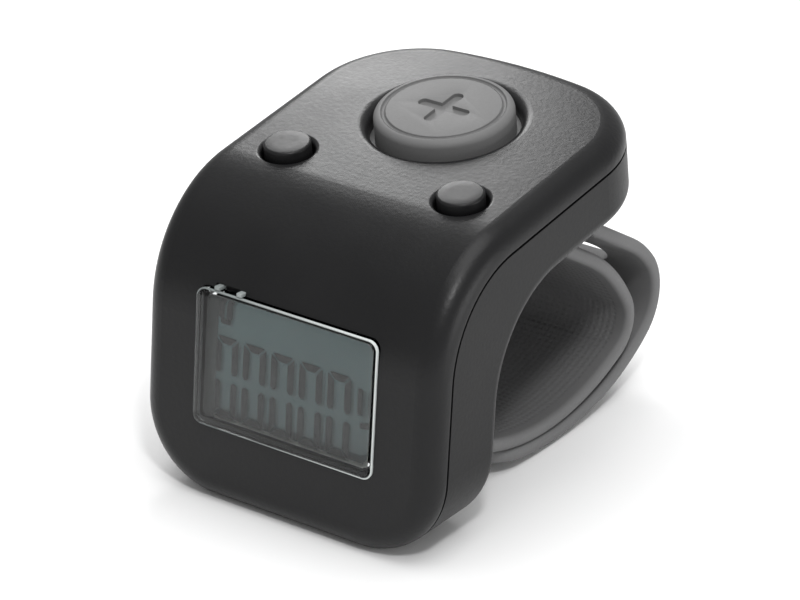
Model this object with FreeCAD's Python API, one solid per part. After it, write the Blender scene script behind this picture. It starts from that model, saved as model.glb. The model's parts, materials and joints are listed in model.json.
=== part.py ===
import FreeCAD, Part
import math
import os
from FreeCAD import Placement, Rotation, Vector

# Finger-worn electronic tally counter. Millimetres, +Z up, +X along the finger, +Y to the rear.
# The case is bent like an L: a top that slopes up to the rear, a round bend, and a front that
# holds the display. Everything is drawn from the centre of that bend and moved to the object's
# own origin, the middle of its footprint on the table, when it is written.

# --- Case: overall shape ---
case_width = 27.5          # along the finger
top_slope = 7.9            # degrees, the top rises to the rear
front_lean = 4.7           # degrees, the front leans back as it rises
bend_radius = 10.8         # outside of the bend between top and front
top_length = 22.2          # from the end of the bend to the rear wall
saddle_radius = 8.9        # finger saddle between top and front
bend_height = 13.9         # bend centre above the table
rear_corner_radius = 9.0   # seen from above
rear_bow_radius = 42.0     # the rear wall is slightly bowed
foot_corner_radius = 6.8   # lower corners seen from the front
edge_radius = 1.9          # round edge of the cover
rim_radius = 1.1           # round edge of the saddle
wall = 1.3                 # thickness of both case halves
chip_room = 0.25           # left between the chip and the shell
door_room = 0.2            # left between the cell link and the door's inside

# --- Seam between cover and shell ---
seam_depth = 2.0           # cover edge below the top and front surfaces
seam_gap = 0.22            # width of the seam groove
seam_groove = 0.4          # depth of the seam groove
lip_width = 0.6            # locating lip inside the seam
lip_height = 0.8
lip_clearance = 0.06

# --- Count button ---
count_along = 11.2         # from the end of the bend, along the top
count_radius = 5.5
count_proud = 1.05
count_round = 0.6
count_gap = 0.4            # between button and hole
count_hole_round = 0.9     # softened edge of its hole
count_travel = 0.6
ring_groove_radius = 4.7
ring_groove_width = 0.45
mark_length = 4.4          # plus sign
mark_width = 0.8
bar_round = 0.45           # corner radius of a bar's end, as a share of its width
engraving_depth = 0.25

# --- Two small buttons ---
small_along = 1.8
small_across = 8.1
small_radius = 1.85
small_proud = 0.66
small_chamfer = 0.18
small_gap = 0.25
small_hole_round = 0.38

# --- Shared button and switch sizes ---
flange_overlap = 0.5       # flange beyond the button's hole
flange_thickness = 0.5
post_length = 0.35
post_reserve = 0.1         # left between post and switch when a button is pressed
count_post_radius = 1.65
small_post_radius = 1.04
flange_clearance = 0.05
plunger_radius = 0.55
plunger_length = 0.9
plunger_clearance = 0.05
switch_side = 3.2
switch_corner = 0.3
switch_height = 1.1
switch_floor = 0.15

# --- Window, lens and display ---
window_down = 2.9          # window centre from the end of the bend, down the front
window_width = 17.0
window_height = 11.3
window_corner = 0.9
lens_gap = 0.06
lens_proud = 0.5
lens_bevel = 0.4
ledge_width = 0.5
ledge_depth = 0.85
notch_width = 2.2          # gate notch in the upper edge of the window
notch_height = 0.35
notch_across = -5.9
glass_margin = 0.35        # display glass beyond the ledge opening
glass_thickness = 1.6
display_gap = 0.05
panel_thickness = 0.9      # backlight light guide
strip_height = 0.95        # rubber connector strips above and below the light guide
strip_width = 1.0
strip_inset = 0.5          # each end of a strip from the glass's end
holder_wall = 0.6
holder_corner = 0.8
holder_clearance = 0.05
guide_corner = 0.3
light_room = 1.2           # beside the light guide, for the lamp
light_width = 0.96
light_height = 2.4
light_thickness = 0.6

# --- Boards ---
board_thickness = 0.6
front_board_margin = 0.3   # front board beyond the display holder
top_board_half_width = 10.6
top_board_front = -1.2
top_board_rear_room = 2.8  # from the board's rear edge to the rear wall's outside
board_corner = 1.5
board_clearance = 0.1
chip_radius = 2.0
chip_height = 0.55
chip_round = 0.44
ribbon_width = 3.4
ribbon_thickness = 0.15
ribbon_across = -7.2
ribbon_bend = 2.4
ribbon_overlap = 1.3

# --- Screws ---
screw_radius = 0.6
screw_head_radius = 1.15
screw_head_height = 0.55
screw_length = 4.0
screw_clearance = 0.1
head_clearance = 0.15
boss_radius = 1.4
boss_clearance = 0.15
boss_root = 0.2            # how far a boss or post runs into its wall
rear_screw_across = 8.6
rear_screw_along = 17.4
front_screw_across = 10.9
front_screw_down = 6.5
board_screw_radius = 0.4
board_screw_head = 0.75
board_screw_head_height = 0.3
board_screw_length = 1.8
board_screw_clearance = 0.05
board_post_radius = 0.9
board_post_gap = 0.6       # between a post and the count button's flange
side_posts = ((-7.6, 5.8), (7.6, 5.8))
near_post_angles = (-90.0, 120.5)

# --- Cells, contacts and battery door ---
cell_radius = 3.4
cell_thickness = 2.0
cell_round = 0.2
cell_spacing = 7.5
cell_down = 3.5            # cell centres from the end of the bend
contact_thickness = 0.15
contact_side = 3.0
contact_corner = 0.3
cell_gap = 0.04
door_margin = 0.45
door_clearance = 0.1
door_corner_relief = 0.4   # the door's corners are this much tighter than the cells
door_ear_across = 9.2
door_ear_down = 2.6
door_ear_radius = 1.65
door_screw_length = 2.4
door_pilot_spare = 0.2
door_boss_length = 1.7
door_head_height = 0.25
door_head_sink = 0.35      # its head below the door's outside

# --- Strap ---
strap_half_width = 9.6
strap_thickness = 1.15
eye_radius = 1.12
pin_radius = 0.5
pin_clearance = 0.03
ear_gap = 0.2
ear_thickness = 1.5
ear_radius = 1.15
pin_bite = 1.2             # how far the pin enters each ear
rear_pin_y = 13.0
rear_pin_z = 5.05
anchor_bar_radius = 0.75
anchor_bar_inset = 0.4
anchor_slot_gap = 0.2
slot_width = 11.0
slot_length = 3.0
slot_spacing = 4.6
slot_count = 4
first_slot = 14.4          # from the rear pin, along the outer layer
end_round = 0.48           # corner radius of a slot or stud, as a share of its length
tail_corner = 5.76
tail_cut = 4.0             # reach of the tail cutter above and below the strap
stud_width = 5.0
stud_length = 2.2
stud_through = 0.58        # stud beyond the middle of the outer layer

# Centre lines of the strap layers in the side plane, from the rear end to the front end:
# start, heading in degrees, a straight run, arcs of (radius, turn in degrees), a straight run.
outer_line = {"start": (rear_pin_y, rear_pin_z), "heading": -31.8, "lead": 10.95,
              "arcs": ((11.15, 19.0), (4.16, 92.1), (18.3, 24.5), (28.0, 33.9)), "tail": 0.0}
inner_line = {"start": (12.4, 2.7), "heading": -32.0, "lead": 4.6,
              "arcs": ((16.7, 27.5), (2.8, 93.0), (22.0, 45.5)), "tail": 8.8}

FAR = 60.0                 # reach of the trimming solids, beyond the whole object
PAST = 1.0                 # cutters run past the faces they cut by this
SADDLE_PAST = 4.0          # the same across the curve of the saddle
SAME = 0.01                # lengths closer than this are the same


# --- Directions and frames ---
slope = math.radians(top_slope)
lean = math.radians(front_lean)
top_out = Vector(0, -math.sin(slope), math.cos(slope))
top_back = Vector(0, math.cos(slope), math.sin(slope))
front_out = Vector(0, -math.cos(lean), math.sin(lean))
front_down = Vector(0, -math.sin(lean), -math.cos(lean))
straight_down = Vector(0, 0, -1)


def top_frame(along, depth=0.0):
    """Frame on the top: x across, y to the rear, z outwards."""
    base = top_out * (bend_radius - depth) + top_back * along
    return Placement(base, Rotation(Vector(1, 0, 0), top_slope))


def front_frame(down, depth=0.0):
    """Frame on the front: x across, y upwards, z outwards."""
    base = front_out * (bend_radius - depth) + front_down * down
    return Placement(base, Rotation(Vector(1, 0, 0), 90 - front_lean))


def shifted(frame, x=0.0, y=0.0, z=0.0):
    """A frame moved in its own directions."""
    return frame.multiply(Placement(Vector(x, y, z), Rotation()))


def put(shape, frame):
    """A copy of a shape drawn at the origin, set into a frame."""
    moved = shape.copy()
    moved.Placement = frame.multiply(moved.Placement)
    return moved


def meet(normal_a, reach_a, normal_b, reach_b):
    """Point of the side plane at given distances along two directions."""
    scale = normal_a.y * normal_b.z - normal_a.z * normal_b.y
    y = (reach_a * normal_b.z - reach_b * normal_a.z) / scale
    z = (normal_a.y * reach_b - normal_b.y * reach_a) / scale
    return Vector(0, y, z)


# --- Simple solids ---
def drum(radius, low, high, x=0.0, y=0.0):
    """Cylinder along z between two heights."""
    return Part.makeCylinder(radius, high - low, Vector(x, y, low))


def slab(width, height, low, high, corner=0.0, x=0.0, y=0.0):
    """Plate centred on x, y between two heights, with round corners."""
    plate = Part.makeBox(width, height, high - low, Vector(x - width / 2, y - height / 2, low))
    if corner > 0:
        upright = [edge for edge in plate.Edges if edge.BoundBox.ZLength > (high - low) / 2]
        plate = plate.makeFillet(corner, upright)
    return plate


def prism(points, direction):
    """Solid from a closed polygon of points pushed along a direction."""
    face = Part.Face(Part.makePolygon(list(points) + [points[0]]))
    return face.extrude(direction)


def loop_face(edges):
    """Face inside a closed chain of edges."""
    return Part.Face(Part.Wire(Part.__sortEdges__(edges)))


def arc_between(centre, radius, out_a, out_b):
    """Arc about a centre from one outward direction to another, the short way."""
    middle = (out_a + out_b).normalize()
    return Part.Arc(centre + out_a * radius, centre + middle * radius, centre + out_b * radius).toShape()


def line(start, end):
    """Straight edge."""
    return Part.makeLine(start, end)


# --- Depths of the stack below the surfaces, worked out once ---
def button_levels():
    """Depths of a button's flange, post, switch and board below the top."""
    flange_top = wall + flange_clearance
    flange_low = flange_top + flange_thickness
    post_low = flange_low + post_length
    switch_top = post_low + count_travel + post_reserve
    return flange_top, flange_low, post_low, switch_top


board_top = button_levels()[3] + switch_height
board_low = board_top + board_thickness
ledge_opening = (window_width - 2 * ledge_width, window_height - 2 * ledge_width)
glass_size = (ledge_opening[0] + 2 * glass_margin, ledge_opening[1] + 2 * glass_margin)
holder_size = (glass_size[0] + 2 * holder_wall, glass_size[1] + 2 * holder_wall)
glass_rise = max(glass_size[1] / 2 - window_down, 0)
glass_top = bend_radius - math.sqrt((bend_radius - wall) ** 2 - glass_rise ** 2) + display_gap
glass_low = glass_top + glass_thickness
guide_low = glass_low + strip_height
front_board_low = guide_low + board_thickness
cell_top = front_board_low + contact_thickness + cell_gap
cell_low = cell_top + cell_thickness
link_low = cell_low + cell_gap + contact_thickness
top_depth = board_low + chip_height + chip_room + wall
front_depth = link_low + door_room + wall
door_corner = cell_radius - door_corner_relief
guide_height = glass_size[1] - 2 * strip_width - 4 * display_gap


# --- Case outline ---
saddle_centre = meet(top_out, bend_radius - top_depth - saddle_radius,
                     front_out, bend_radius - front_depth - saddle_radius)
bend_centre = Vector(0, 0, 0)


def side_prism(inset, skin_inset):
    """The bent slab seen from the side, full width, with its walls and its outer skin shrunk."""
    reach = bend_radius - skin_inset
    rear_top = meet(top_out, reach, top_back, top_length - inset)
    rear_low = meet(top_out, bend_radius - top_depth + inset, top_back, top_length - inset)
    foot_front = meet(front_out, reach, straight_down, bend_height - inset)
    foot_rear = meet(front_out, bend_radius - front_depth + inset, straight_down, bend_height - inset)
    hollow = saddle_radius + inset
    edges = [
        line(rear_top, top_out * reach),
        arc_between(bend_centre, reach, top_out, front_out),
        line(front_out * reach, foot_front),
        line(foot_front, foot_rear),
        line(foot_rear, saddle_centre + front_out * hollow),
        arc_between(saddle_centre, hollow, front_out, top_out),
        line(saddle_centre + top_out * hollow, rear_low),
        line(rear_low, rear_top),
    ]
    face = loop_face(edges)
    face.translate(Vector(-case_width / 2, 0, 0))
    return face.extrude(Vector(case_width, 0, 0))


def plan_prism(inset):
    """Outline of the top seen along its normal: bowed rear wall and round rear corners."""
    half = case_width / 2 - inset
    corner = rear_corner_radius - inset
    bow = rear_bow_radius - inset
    bow_y = top_length - rear_bow_radius
    corner_x = half - corner
    corner_y = bow_y + math.sqrt((bow - corner) ** 2 - corner_x ** 2)
    turn = math.atan2(corner_y - bow_y, corner_x)

    def corner_arc(side):
        def spot(angle):
            x = corner_x + corner * math.cos(angle)
            y = corner_y + corner * math.sin(angle)
            return Vector(side * x, y, 0)

        return Part.Arc(spot(0), spot(turn / 2), spot(turn)).toShape(), spot(0), spot(turn)

    right_arc, right_start, right_end = corner_arc(1)
    left_arc, left_start, left_end = corner_arc(-1)
    edges = [
        line(Vector(half, -FAR, 0), right_start),
        right_arc,
        Part.Arc(right_end, Vector(0, bow_y + bow, 0), left_end).toShape(),
        left_arc,
        line(left_start, Vector(-half, -FAR, 0)),
        line(Vector(-half, -FAR, 0), Vector(half, -FAR, 0)),
    ]
    face = loop_face(edges)
    face.translate(Vector(0, 0, -FAR))
    return put(face.extrude(Vector(0, 0, 2 * FAR)), top_frame(0))


def foot_prism(inset):
    """Outline seen from the front: straight sides and round lower corners."""
    half = case_width / 2 - inset
    corner = foot_corner_radius - inset
    low = -bend_height + inset
    across = Vector(1, 0, 0)
    right = Vector(half - corner, 0, low + corner)
    left = Vector(corner - half, 0, low + corner)
    edges = [
        line(Vector(half, 0, FAR), right + across * corner),
        arc_between(right, corner, across, straight_down),
        line(right + straight_down * corner, left + straight_down * corner),
        arc_between(left, corner, straight_down, across * -1),
        line(left - across * corner, Vector(-half, 0, FAR)),
        line(Vector(-half, 0, FAR), Vector(half, 0, FAR)),
    ]
    face = loop_face(edges)
    face.translate(Vector(0, -FAR, 0))
    return face.extrude(Vector(0, 2 * FAR, 0))


def case_form(inset):
    """The whole case as one solid with sharp edges, shrunk by an inset."""
    return side_prism(inset, inset).common(plan_prism(inset)).common(foot_prism(inset))


def open_form(inset):
    """The same with only its walls and saddle shrunk, so that it has no skin on top."""
    return side_prism(inset, -wall).common(plan_prism(inset)).common(foot_prism(inset))


def bend_depth(point):
    """Depth of a point below the top, the bend or the front."""
    if point.dot(top_back) >= 0:
        return bend_radius - point.dot(top_out)
    if point.dot(front_down) >= 0:
        return bend_radius - point.dot(front_out)
    return bend_radius - math.hypot(point.y, point.z)


def saddle_gap(point):
    """Distance of a point from the saddle surface."""
    from_centre = point - saddle_centre
    if from_centre.dot(top_back) >= 0:
        return from_centre.dot(top_out) - saddle_radius
    if from_centre.dot(front_down) >= 0:
        return from_centre.dot(front_out) - saddle_radius
    return math.hypot(from_centre.y, from_centre.z) - saddle_radius


def border_edges(solid, distance, seams):
    """Edges round a skin where distance is zero, without the cross lines inside it."""
    found = []
    for edge in solid.Edges:
        first, last = edge.ParameterRange
        spots = [edge.valueAt(first + (last - first) * share) for share in (0.0, 0.5, 1.0)]
        on_skin = all(abs(distance(spot)) < SAME for spot in spots)
        inside = any(math.hypot(spots[1].y - s.y, spots[1].z - s.z) < SAME for s in seams)
        if on_skin and not inside:
            found.append(edge)
    return found


def rounded_case():
    """The case solid with its round cover edge and saddle rim."""
    solid = case_form(0)
    bend_seams = [top_out * bend_radius, front_out * bend_radius]
    solid = solid.makeFillet(edge_radius, border_edges(solid, bend_depth, bend_seams))
    saddle_seams = [saddle_centre + top_out * saddle_radius, saddle_centre + front_out * saddle_radius]
    return solid.makeFillet(rim_radius, border_edges(solid, saddle_gap, saddle_seams))


def core(depth):
    """Everything deeper than a depth below the top, the bend and the front."""
    reach = bend_radius - depth
    corner = Vector(0, FAR, -FAR)
    edges = [
        arc_between(bend_centre, reach, top_out, front_out),
        line(front_out * reach, front_out * reach + front_down * FAR),
        line(front_out * reach + front_down * FAR, corner),
        line(corner, top_out * reach + top_back * FAR),
        line(top_out * reach + top_back * FAR, top_out * reach),
    ]
    face = loop_face(edges)
    face.translate(Vector(-FAR, 0, 0))
    return face.extrude(Vector(2 * FAR, 0, 0))


# --- Screw places ---
def rear_screw_frames(depth):
    """Frames of the two screws under the rear of the top."""
    return [shifted(top_frame(rear_screw_along, depth), side * rear_screw_across) for side in (-1, 1)]


def front_screw_frames(depth):
    """Frames of the two screws behind the front."""
    return [shifted(front_frame(front_screw_down, depth), side * front_screw_across) for side in (-1, 1)]


def door_screw_frame():
    """Frame of the battery door's screw, at the front surface's level."""
    return shifted(front_frame(door_ear_down), door_ear_across)


case_screw_places = ([(frame, top_depth) for frame in rear_screw_frames(0)]
                     + [(frame, front_depth) for frame in front_screw_frames(0)])


def near_posts():
    """Board posts that keep their distance from the count button's flange."""
    reach = count_radius + count_gap + flange_overlap + board_post_gap + board_post_radius
    angles = [math.radians(angle) for angle in near_post_angles]
    return [(reach * math.cos(angle), count_along + reach * math.sin(angle)) for angle in angles]


board_screw_places = list(side_posts) + near_posts()


def screw_seat(depth):
    """Depth at which a case screw's head seats in a shell of a given depth."""
    return depth - wall / 2


# --- Case halves ---
def button_hole(radius, rounding):
    """Cutter for a hole with a softened edge, in the button's frame."""
    bore = drum(radius, -wall - PAST, PAST)
    wide = radius + rounding
    corner = rounding * math.cos(math.pi / 4)
    middle = Vector(wide - corner, 0, corner - rounding)
    low = Vector(0, 0, -rounding)
    flare = [
        line(low, Vector(radius, 0, -rounding)),
        Part.Arc(Vector(radius, 0, -rounding), middle, Vector(wide, 0, 0)).toShape(),
        line(Vector(wide, 0, 0), Vector(wide, 0, PAST)),
        line(Vector(wide, 0, PAST), Vector(0, 0, PAST)),
        line(Vector(0, 0, PAST), low),
    ]
    mouth = loop_face(flare).revolve(Vector(0, 0, 0), Vector(0, 0, 1), 360)
    return bore.fuse(mouth)


# name, place across, place along, radius of its hole, rounding of the hole's edge
button_places = (
    ("count", 0.0, count_along, count_radius + count_gap, count_hole_round),
    ("reset", -small_across, small_along, small_radius + small_gap, small_hole_round),
    ("light", small_across, small_along, small_radius + small_gap, small_hole_round),
)


def button_frame(x, along):
    """Frame of a button on the top."""
    return shifted(top_frame(along), x)


def window_cut():
    """Cutter for the window: lens recess, ledge opening and gate notch."""
    recess = slab(window_width, window_height, -ledge_depth, PAST, window_corner)
    opening = slab(ledge_opening[0], ledge_opening[1], -wall - PAST, PAST, window_corner - ledge_width)
    notch = slab(notch_width, 2 * notch_height, -ledge_depth, PAST, 0, notch_across, window_height / 2)
    return put(recess.fuse(opening).fuse(notch), front_frame(window_down))


def make_top_cover(case, cavity):
    """Black cover: top, bend and front with their round edges, holes, window and bosses."""
    cover = case.cut(cavity).cut(core(seam_depth))
    for frame, depth in case_screw_places:
        cover = cover.fuse(put(drum(boss_radius, wall - depth, boss_root - wall), frame))
    for x, along in board_screw_places:
        post = drum(board_post_radius, -board_top, boss_root - wall, x, along)
        cover = cover.fuse(put(post, top_frame(0)))
    cover = cover.common(case)
    for name, x, along, hole_radius, rounding in button_places:
        cover = cover.cut(put(button_hole(hole_radius, rounding), button_frame(x, along)))
    cover = cover.cut(window_cut())
    for frame, depth in case_screw_places:
        seat = screw_seat(depth)
        cover = cover.cut(put(drum(screw_radius, -seat - PAST, screw_length - seat), frame))
    for x, along in board_screw_places:
        pilot = drum(board_screw_radius, -board_low, board_screw_length - board_low, x, along)
        cover = cover.cut(put(pilot, top_frame(0)))
    return cover


def door_outline(margin, low, high):
    """Battery door's outline as a solid between two heights, in the front frame at the cells."""
    width = cell_spacing + 2 * cell_radius + 2 * (door_margin + margin)
    height = 2 * cell_radius + 2 * (door_margin + margin)
    plate = slab(width, height, low, high, door_corner + margin)
    ear = drum(door_ear_radius + margin, low, high, door_ear_across, cell_down - door_ear_down)
    return plate.fuse(ear)


def make_finger_shell(case, cavity):
    """Charcoal shell: side walls, rear wall and finger saddle, with lip, bosses, ears and slots."""
    shell = case.cut(cavity).common(core(seam_depth))
    groove = case.cut(case_form(seam_groove)).common(core(seam_depth)).cut(core(seam_depth + seam_gap))
    shell = shell.cut(groove)
    lip = case_form(wall + lip_clearance).cut(open_form(wall + lip_clearance + lip_width))
    lip = lip.common(core(seam_depth - lip_height)).cut(core(seam_depth + lip_height))
    root = cavity.cut(open_form(wall + lip_clearance + lip_width))
    root = root.common(core(seam_depth + seam_gap)).cut(core(seam_depth + lip_height))
    shell = shell.fuse(lip).fuse(root)
    for frame, depth in case_screw_places:
        seat = screw_seat(depth)
        shell = shell.cut(put(drum(boss_radius + boss_clearance, wall - depth, 0), frame))
        shell = shell.cut(put(drum(screw_radius + screw_clearance, -depth - PAST, PAST - seat), frame))
        shell = shell.cut(put(drum(screw_head_radius + head_clearance, -depth - PAST, -seat), frame))
    shell = cut_cell_bay(shell)
    shell = add_pin_ears(shell)
    return cut_anchor_slot(shell)


def cut_cell_bay(shell):
    """Opening for the cells with the seat of their door, and the boss of the door's screw."""
    inside = wall - front_depth
    outside = -front_depth - SADDLE_PAST
    seat = wall / 2 - front_depth
    boss = drum(boss_radius, inside - boss_root, inside + door_boss_length)
    shell = shell.fuse(put(boss, door_screw_frame()))
    shell = shell.cut(put(door_outline(door_clearance, outside, seat), front_frame(cell_down)))
    bay = slab(cell_spacing + 2 * cell_radius, 2 * cell_radius, outside, -cell_top, door_corner)
    shell = shell.cut(put(bay, front_frame(cell_down)))
    pilot = drum(screw_radius, seat - PAST, seat - door_head_sink + door_screw_length + door_pilot_spare)
    return shell.cut(put(pilot, door_screw_frame()))


def side_disc(radius, x, width, y, z):
    """Disc lying across the object from x over a width."""
    return Part.makeCylinder(radius, width, Vector(x, y, z), Vector(1, 0, 0))


def add_pin_ears(shell):
    """Two ears under the rear of the saddle that hold the rear strap pin."""
    saddle_z = meet(top_out, bend_radius - top_depth, Vector(0, 1, 0), rear_pin_y).z
    for side in (-1, 1):
        near = side * (strap_half_width + ear_gap)
        x = min(near, near + side * ear_thickness)
        ear = side_disc(ear_radius, x, ear_thickness, rear_pin_y, rear_pin_z)
        web = Part.makeBox(ear_thickness, 2 * ear_radius, saddle_z - rear_pin_z + wall / 2,
                           Vector(x, rear_pin_y - ear_radius, rear_pin_z))
        shell = shell.fuse(ear).fuse(web)
    recess = side_disc(eye_radius + ear_gap, -strap_half_width - ear_gap, 2 * (strap_half_width + ear_gap),
                       rear_pin_y, rear_pin_z)
    hole = side_disc(pin_radius, -pin_half_length(), 2 * pin_half_length(), rear_pin_y, rear_pin_z)
    return shell.cut(recess).cut(hole)


def pin_half_length():
    """The rear pin ends inside the two ears."""
    return strap_half_width + ear_gap + pin_bite


def cut_anchor_slot(shell):
    """Slot in the saddle's front wall where the inner strap enters."""
    half = strap_half_width + anchor_slot_gap
    slot = strap_band(inner_line, strap_thickness + 2 * anchor_slot_gap, half)
    return shell.cut(slot)


def make_battery_door(hollow):
    """Door that closes the cell bay, flush with the saddle."""
    inside = wall - front_depth
    outside = -front_depth - SADDLE_PAST
    seat = wall / 2 - front_depth
    plug_width = cell_spacing + 2 * cell_radius - 2 * door_clearance
    plug_height = 2 * cell_radius - 2 * door_clearance
    plug = slab(plug_width, plug_height, outside, inside, door_corner - door_clearance)
    door = put(door_outline(0, outside, seat).fuse(plug), front_frame(cell_down)).common(hollow)
    head = drum(screw_head_radius + screw_clearance, outside, seat - door_head_sink)
    shank = drum(screw_radius + screw_clearance, outside, inside)
    return door.cut(put(head.fuse(shank), door_screw_frame()))


# --- Buttons and switches ---
def with_flange(cap, radius, gap, post_radius):
    """Adds a button's flange under the cover and the post that presses its switch."""
    flange_top, flange_low, post_low, switch_top = button_levels()
    cap = cap.fuse(drum(radius + gap + flange_overlap, -flange_low, -flange_top))
    return cap.fuse(drum(post_radius, -post_low, -flange_low))


def top_rim(solid, height):
    """Edges round a solid's top face."""
    return [edge for edge in solid.Edges if edge.BoundBox.ZMin > height - SAME]


def make_count_button():
    """Round soft count button with a ring groove and a plus sign."""
    cap = drum(count_radius, -button_levels()[1], count_proud)
    cap = cap.makeFillet(count_round, top_rim(cap, count_proud))
    cap = with_flange(cap, count_radius, count_gap, count_post_radius)
    floor = count_proud - engraving_depth
    above = count_proud + PAST
    ring = drum(ring_groove_radius + ring_groove_width / 2, floor, above)
    ring = ring.cut(drum(ring_groove_radius - ring_groove_width / 2, floor, above))
    bar = slab(mark_length, mark_width, floor, above, mark_width * bar_round)
    crossbar = slab(mark_width, mark_length, floor, above, mark_width * bar_round)
    return cap.cut(ring).cut(bar.fuse(crossbar))


def make_small_button():
    """Small hard button with a narrow chamfer round its top."""
    cap = drum(small_radius, -button_levels()[1], small_proud)
    cap = cap.makeChamfer(small_chamfer, top_rim(cap, small_proud))
    return with_flange(cap, small_radius, small_gap, small_post_radius)


def make_switch():
    """Tact switch body with the bore for its plunger."""
    top = -button_levels()[3]
    body = slab(switch_side, switch_side, -board_top, top, switch_corner)
    bore = drum(plunger_radius + plunger_clearance, switch_floor - board_top, top + PAST)
    return body.cut(bore)


def make_plunger():
    """Plunger of a tact switch, under its button's post."""
    post_low = button_levels()[2]
    return drum(plunger_radius, -post_low - plunger_length, -post_low)


# --- Display ---
def make_display_lens():
    """Clear lens that stands proud of the window, with a bevelled edge."""
    lens = slab(window_width - 2 * lens_gap, window_height - 2 * lens_gap, -ledge_depth, lens_proud,
                window_corner - lens_gap)
    return put(lens.makeChamfer(lens_bevel, top_rim(lens, lens_proud)), front_frame(window_down))


def front_plate(width, height, top, low, corner=0.0, x=0.0, y=0.0):
    """Plate behind the window between two depths."""
    return put(slab(width, height, -low, -top, corner, x, y), front_frame(window_down))


def make_display_holder():
    """Frame round the display glass, the light guide and the connector strips."""
    outer = slab(holder_size[0], holder_size[1], -guide_low, -glass_top, holder_corner)
    inner = slab(glass_size[0] + 2 * display_gap, glass_size[1] + 2 * display_gap, -guide_low - PAST, 0)
    frame = put(outer.cut(inner), front_frame(window_down))
    return frame.common(case_form(wall + holder_clearance))


def make_connector_strip(side):
    """Rubber connector strip between the glass and the front board."""
    y = side * (glass_size[1] / 2 - strip_width / 2)
    return front_plate(glass_size[0] - 2 * strip_inset, strip_width, glass_low, guide_low, 0, 0, y)


def make_light_guide():
    """Clear panel that spreads the backlight."""
    width = glass_size[0] - 2 * light_room
    low = glass_low + panel_thickness
    return front_plate(width, guide_height, glass_low, low, guide_corner, light_room / 2)


def make_backlight():
    """Small lamp at the left edge of the light guide."""
    x = (light_room - glass_size[0]) / 2
    return front_plate(light_width, light_height, guide_low - light_thickness, guide_low, 0, x)


# --- Boards and ribbon ---
def make_front_board():
    """Board behind the display."""
    width = holder_size[0] + 2 * front_board_margin
    height = holder_size[1] + 2 * front_board_margin
    board = front_plate(width, height, guide_low, front_board_low, board_corner)
    return board.common(case_form(wall + board_clearance))


def make_top_board():
    """Board under the top that carries the three switches."""
    rear = top_length - top_board_rear_room
    length = rear - top_board_front
    middle = (top_board_front + rear) / 2
    plate = slab(2 * top_board_half_width, length, -board_low, -board_top, board_corner, 0, middle)
    plate = put(plate, top_frame(0)).common(case_form(wall + lip_clearance + lip_width + board_clearance))
    for frame, depth in case_screw_places:
        plate = plate.cut(put(drum(boss_radius + boss_clearance, -depth, 0), frame))
    for x, along in board_screw_places:
        hole = drum(board_screw_radius + board_screw_clearance, -board_low - PAST, 0, x, along)
        plate = plate.cut(put(hole, top_frame(0)))
    return plate


def make_chip():
    """Drop of black resin over the counter's chip."""
    drop = drum(chip_radius, -board_low - chip_height, -board_low, 0, count_along)
    low = [edge for edge in drop.Edges if edge.BoundBox.ZMax < SAME - board_low - chip_height]
    return put(drop.makeFillet(chip_round, low), top_frame(0))


def make_ribbon():
    """Flat cable that bends from the front board's back to the top board's underside."""
    inner_side = ribbon_bend
    outer_side = ribbon_bend + ribbon_thickness
    centre = meet(top_out, bend_radius - board_low - outer_side,
                  front_out, bend_radius - front_board_low - outer_side)

    def ends(radius):
        return centre + front_out * radius, centre + top_out * radius

    front_in, top_in = ends(inner_side)
    front_outside, top_outside = ends(outer_side)
    rise = front_down * ribbon_overlap
    reach = (top_board_front + ribbon_overlap - (centre + top_out * outer_side).dot(top_back))
    run = top_back * max(reach, ribbon_overlap)
    edges = [
        line(front_in + rise, front_in),
        arc_between(centre, inner_side, front_out, top_out),
        line(top_in, top_in + run),
        line(top_in + run, top_outside + run),
        line(top_outside + run, top_outside),
        arc_between(centre, outer_side, top_out, front_out),
        line(front_outside, front_outside + rise),
        line(front_outside + rise, front_in + rise),
    ]
    face = loop_face(edges)
    face.translate(Vector(ribbon_across - ribbon_width / 2, 0, 0))
    return face.extrude(Vector(ribbon_width, 0, 0))


# --- Cells and contacts ---
def make_cell(side):
    """Button cell standing behind the front board."""
    cell = drum(cell_radius, -cell_low, -cell_top)
    rims = [edge for edge in cell.Edges if edge.BoundBox.ZLength < SAME]
    cell = cell.makeFillet(cell_round, rims)
    return put(cell, shifted(front_frame(cell_down), side * cell_spacing / 2))


def make_board_contact(side):
    """Contact plate between the front board and a cell."""
    low = -front_board_low - contact_thickness
    x = side * cell_spacing / 2
    plate = slab(contact_side, contact_side, low, -front_board_low, contact_corner, x)
    return put(plate, front_frame(cell_down))


def make_cell_link():
    """Plate inside the door that joins the two cells."""
    plate = slab(cell_spacing + contact_side, contact_side, -link_low, -cell_low - cell_gap, contact_corner)
    return put(plate, front_frame(cell_down))


# --- Screws ---
def screw(radius, length, head_radius, head_height):
    """Screw with its head below the origin and its shank up z."""
    shank = drum(radius, 0, length)
    head = drum(head_radius, -head_height, 0)
    return head.fuse(shank)


def make_case_screws():
    """Four screws that hold the shell to the cover."""
    one = screw(screw_radius, screw_length, screw_head_radius, screw_head_height)
    return [put(one, shifted(frame, z=-screw_seat(depth))) for frame, depth in case_screw_places]


def make_board_screws():
    """Screws that hold the top board to the cover's posts."""
    one = screw(board_screw_radius, board_screw_length, board_screw_head, board_screw_head_height)
    return [put(one, shifted(top_frame(along, board_low), x)) for x, along in board_screw_places]


def make_door_screw():
    """Screw of the battery door."""
    one = screw(screw_radius, door_screw_length, screw_head_radius, door_head_height)
    return put(one, shifted(door_screw_frame(), z=wall / 2 - front_depth - door_head_sink))


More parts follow.
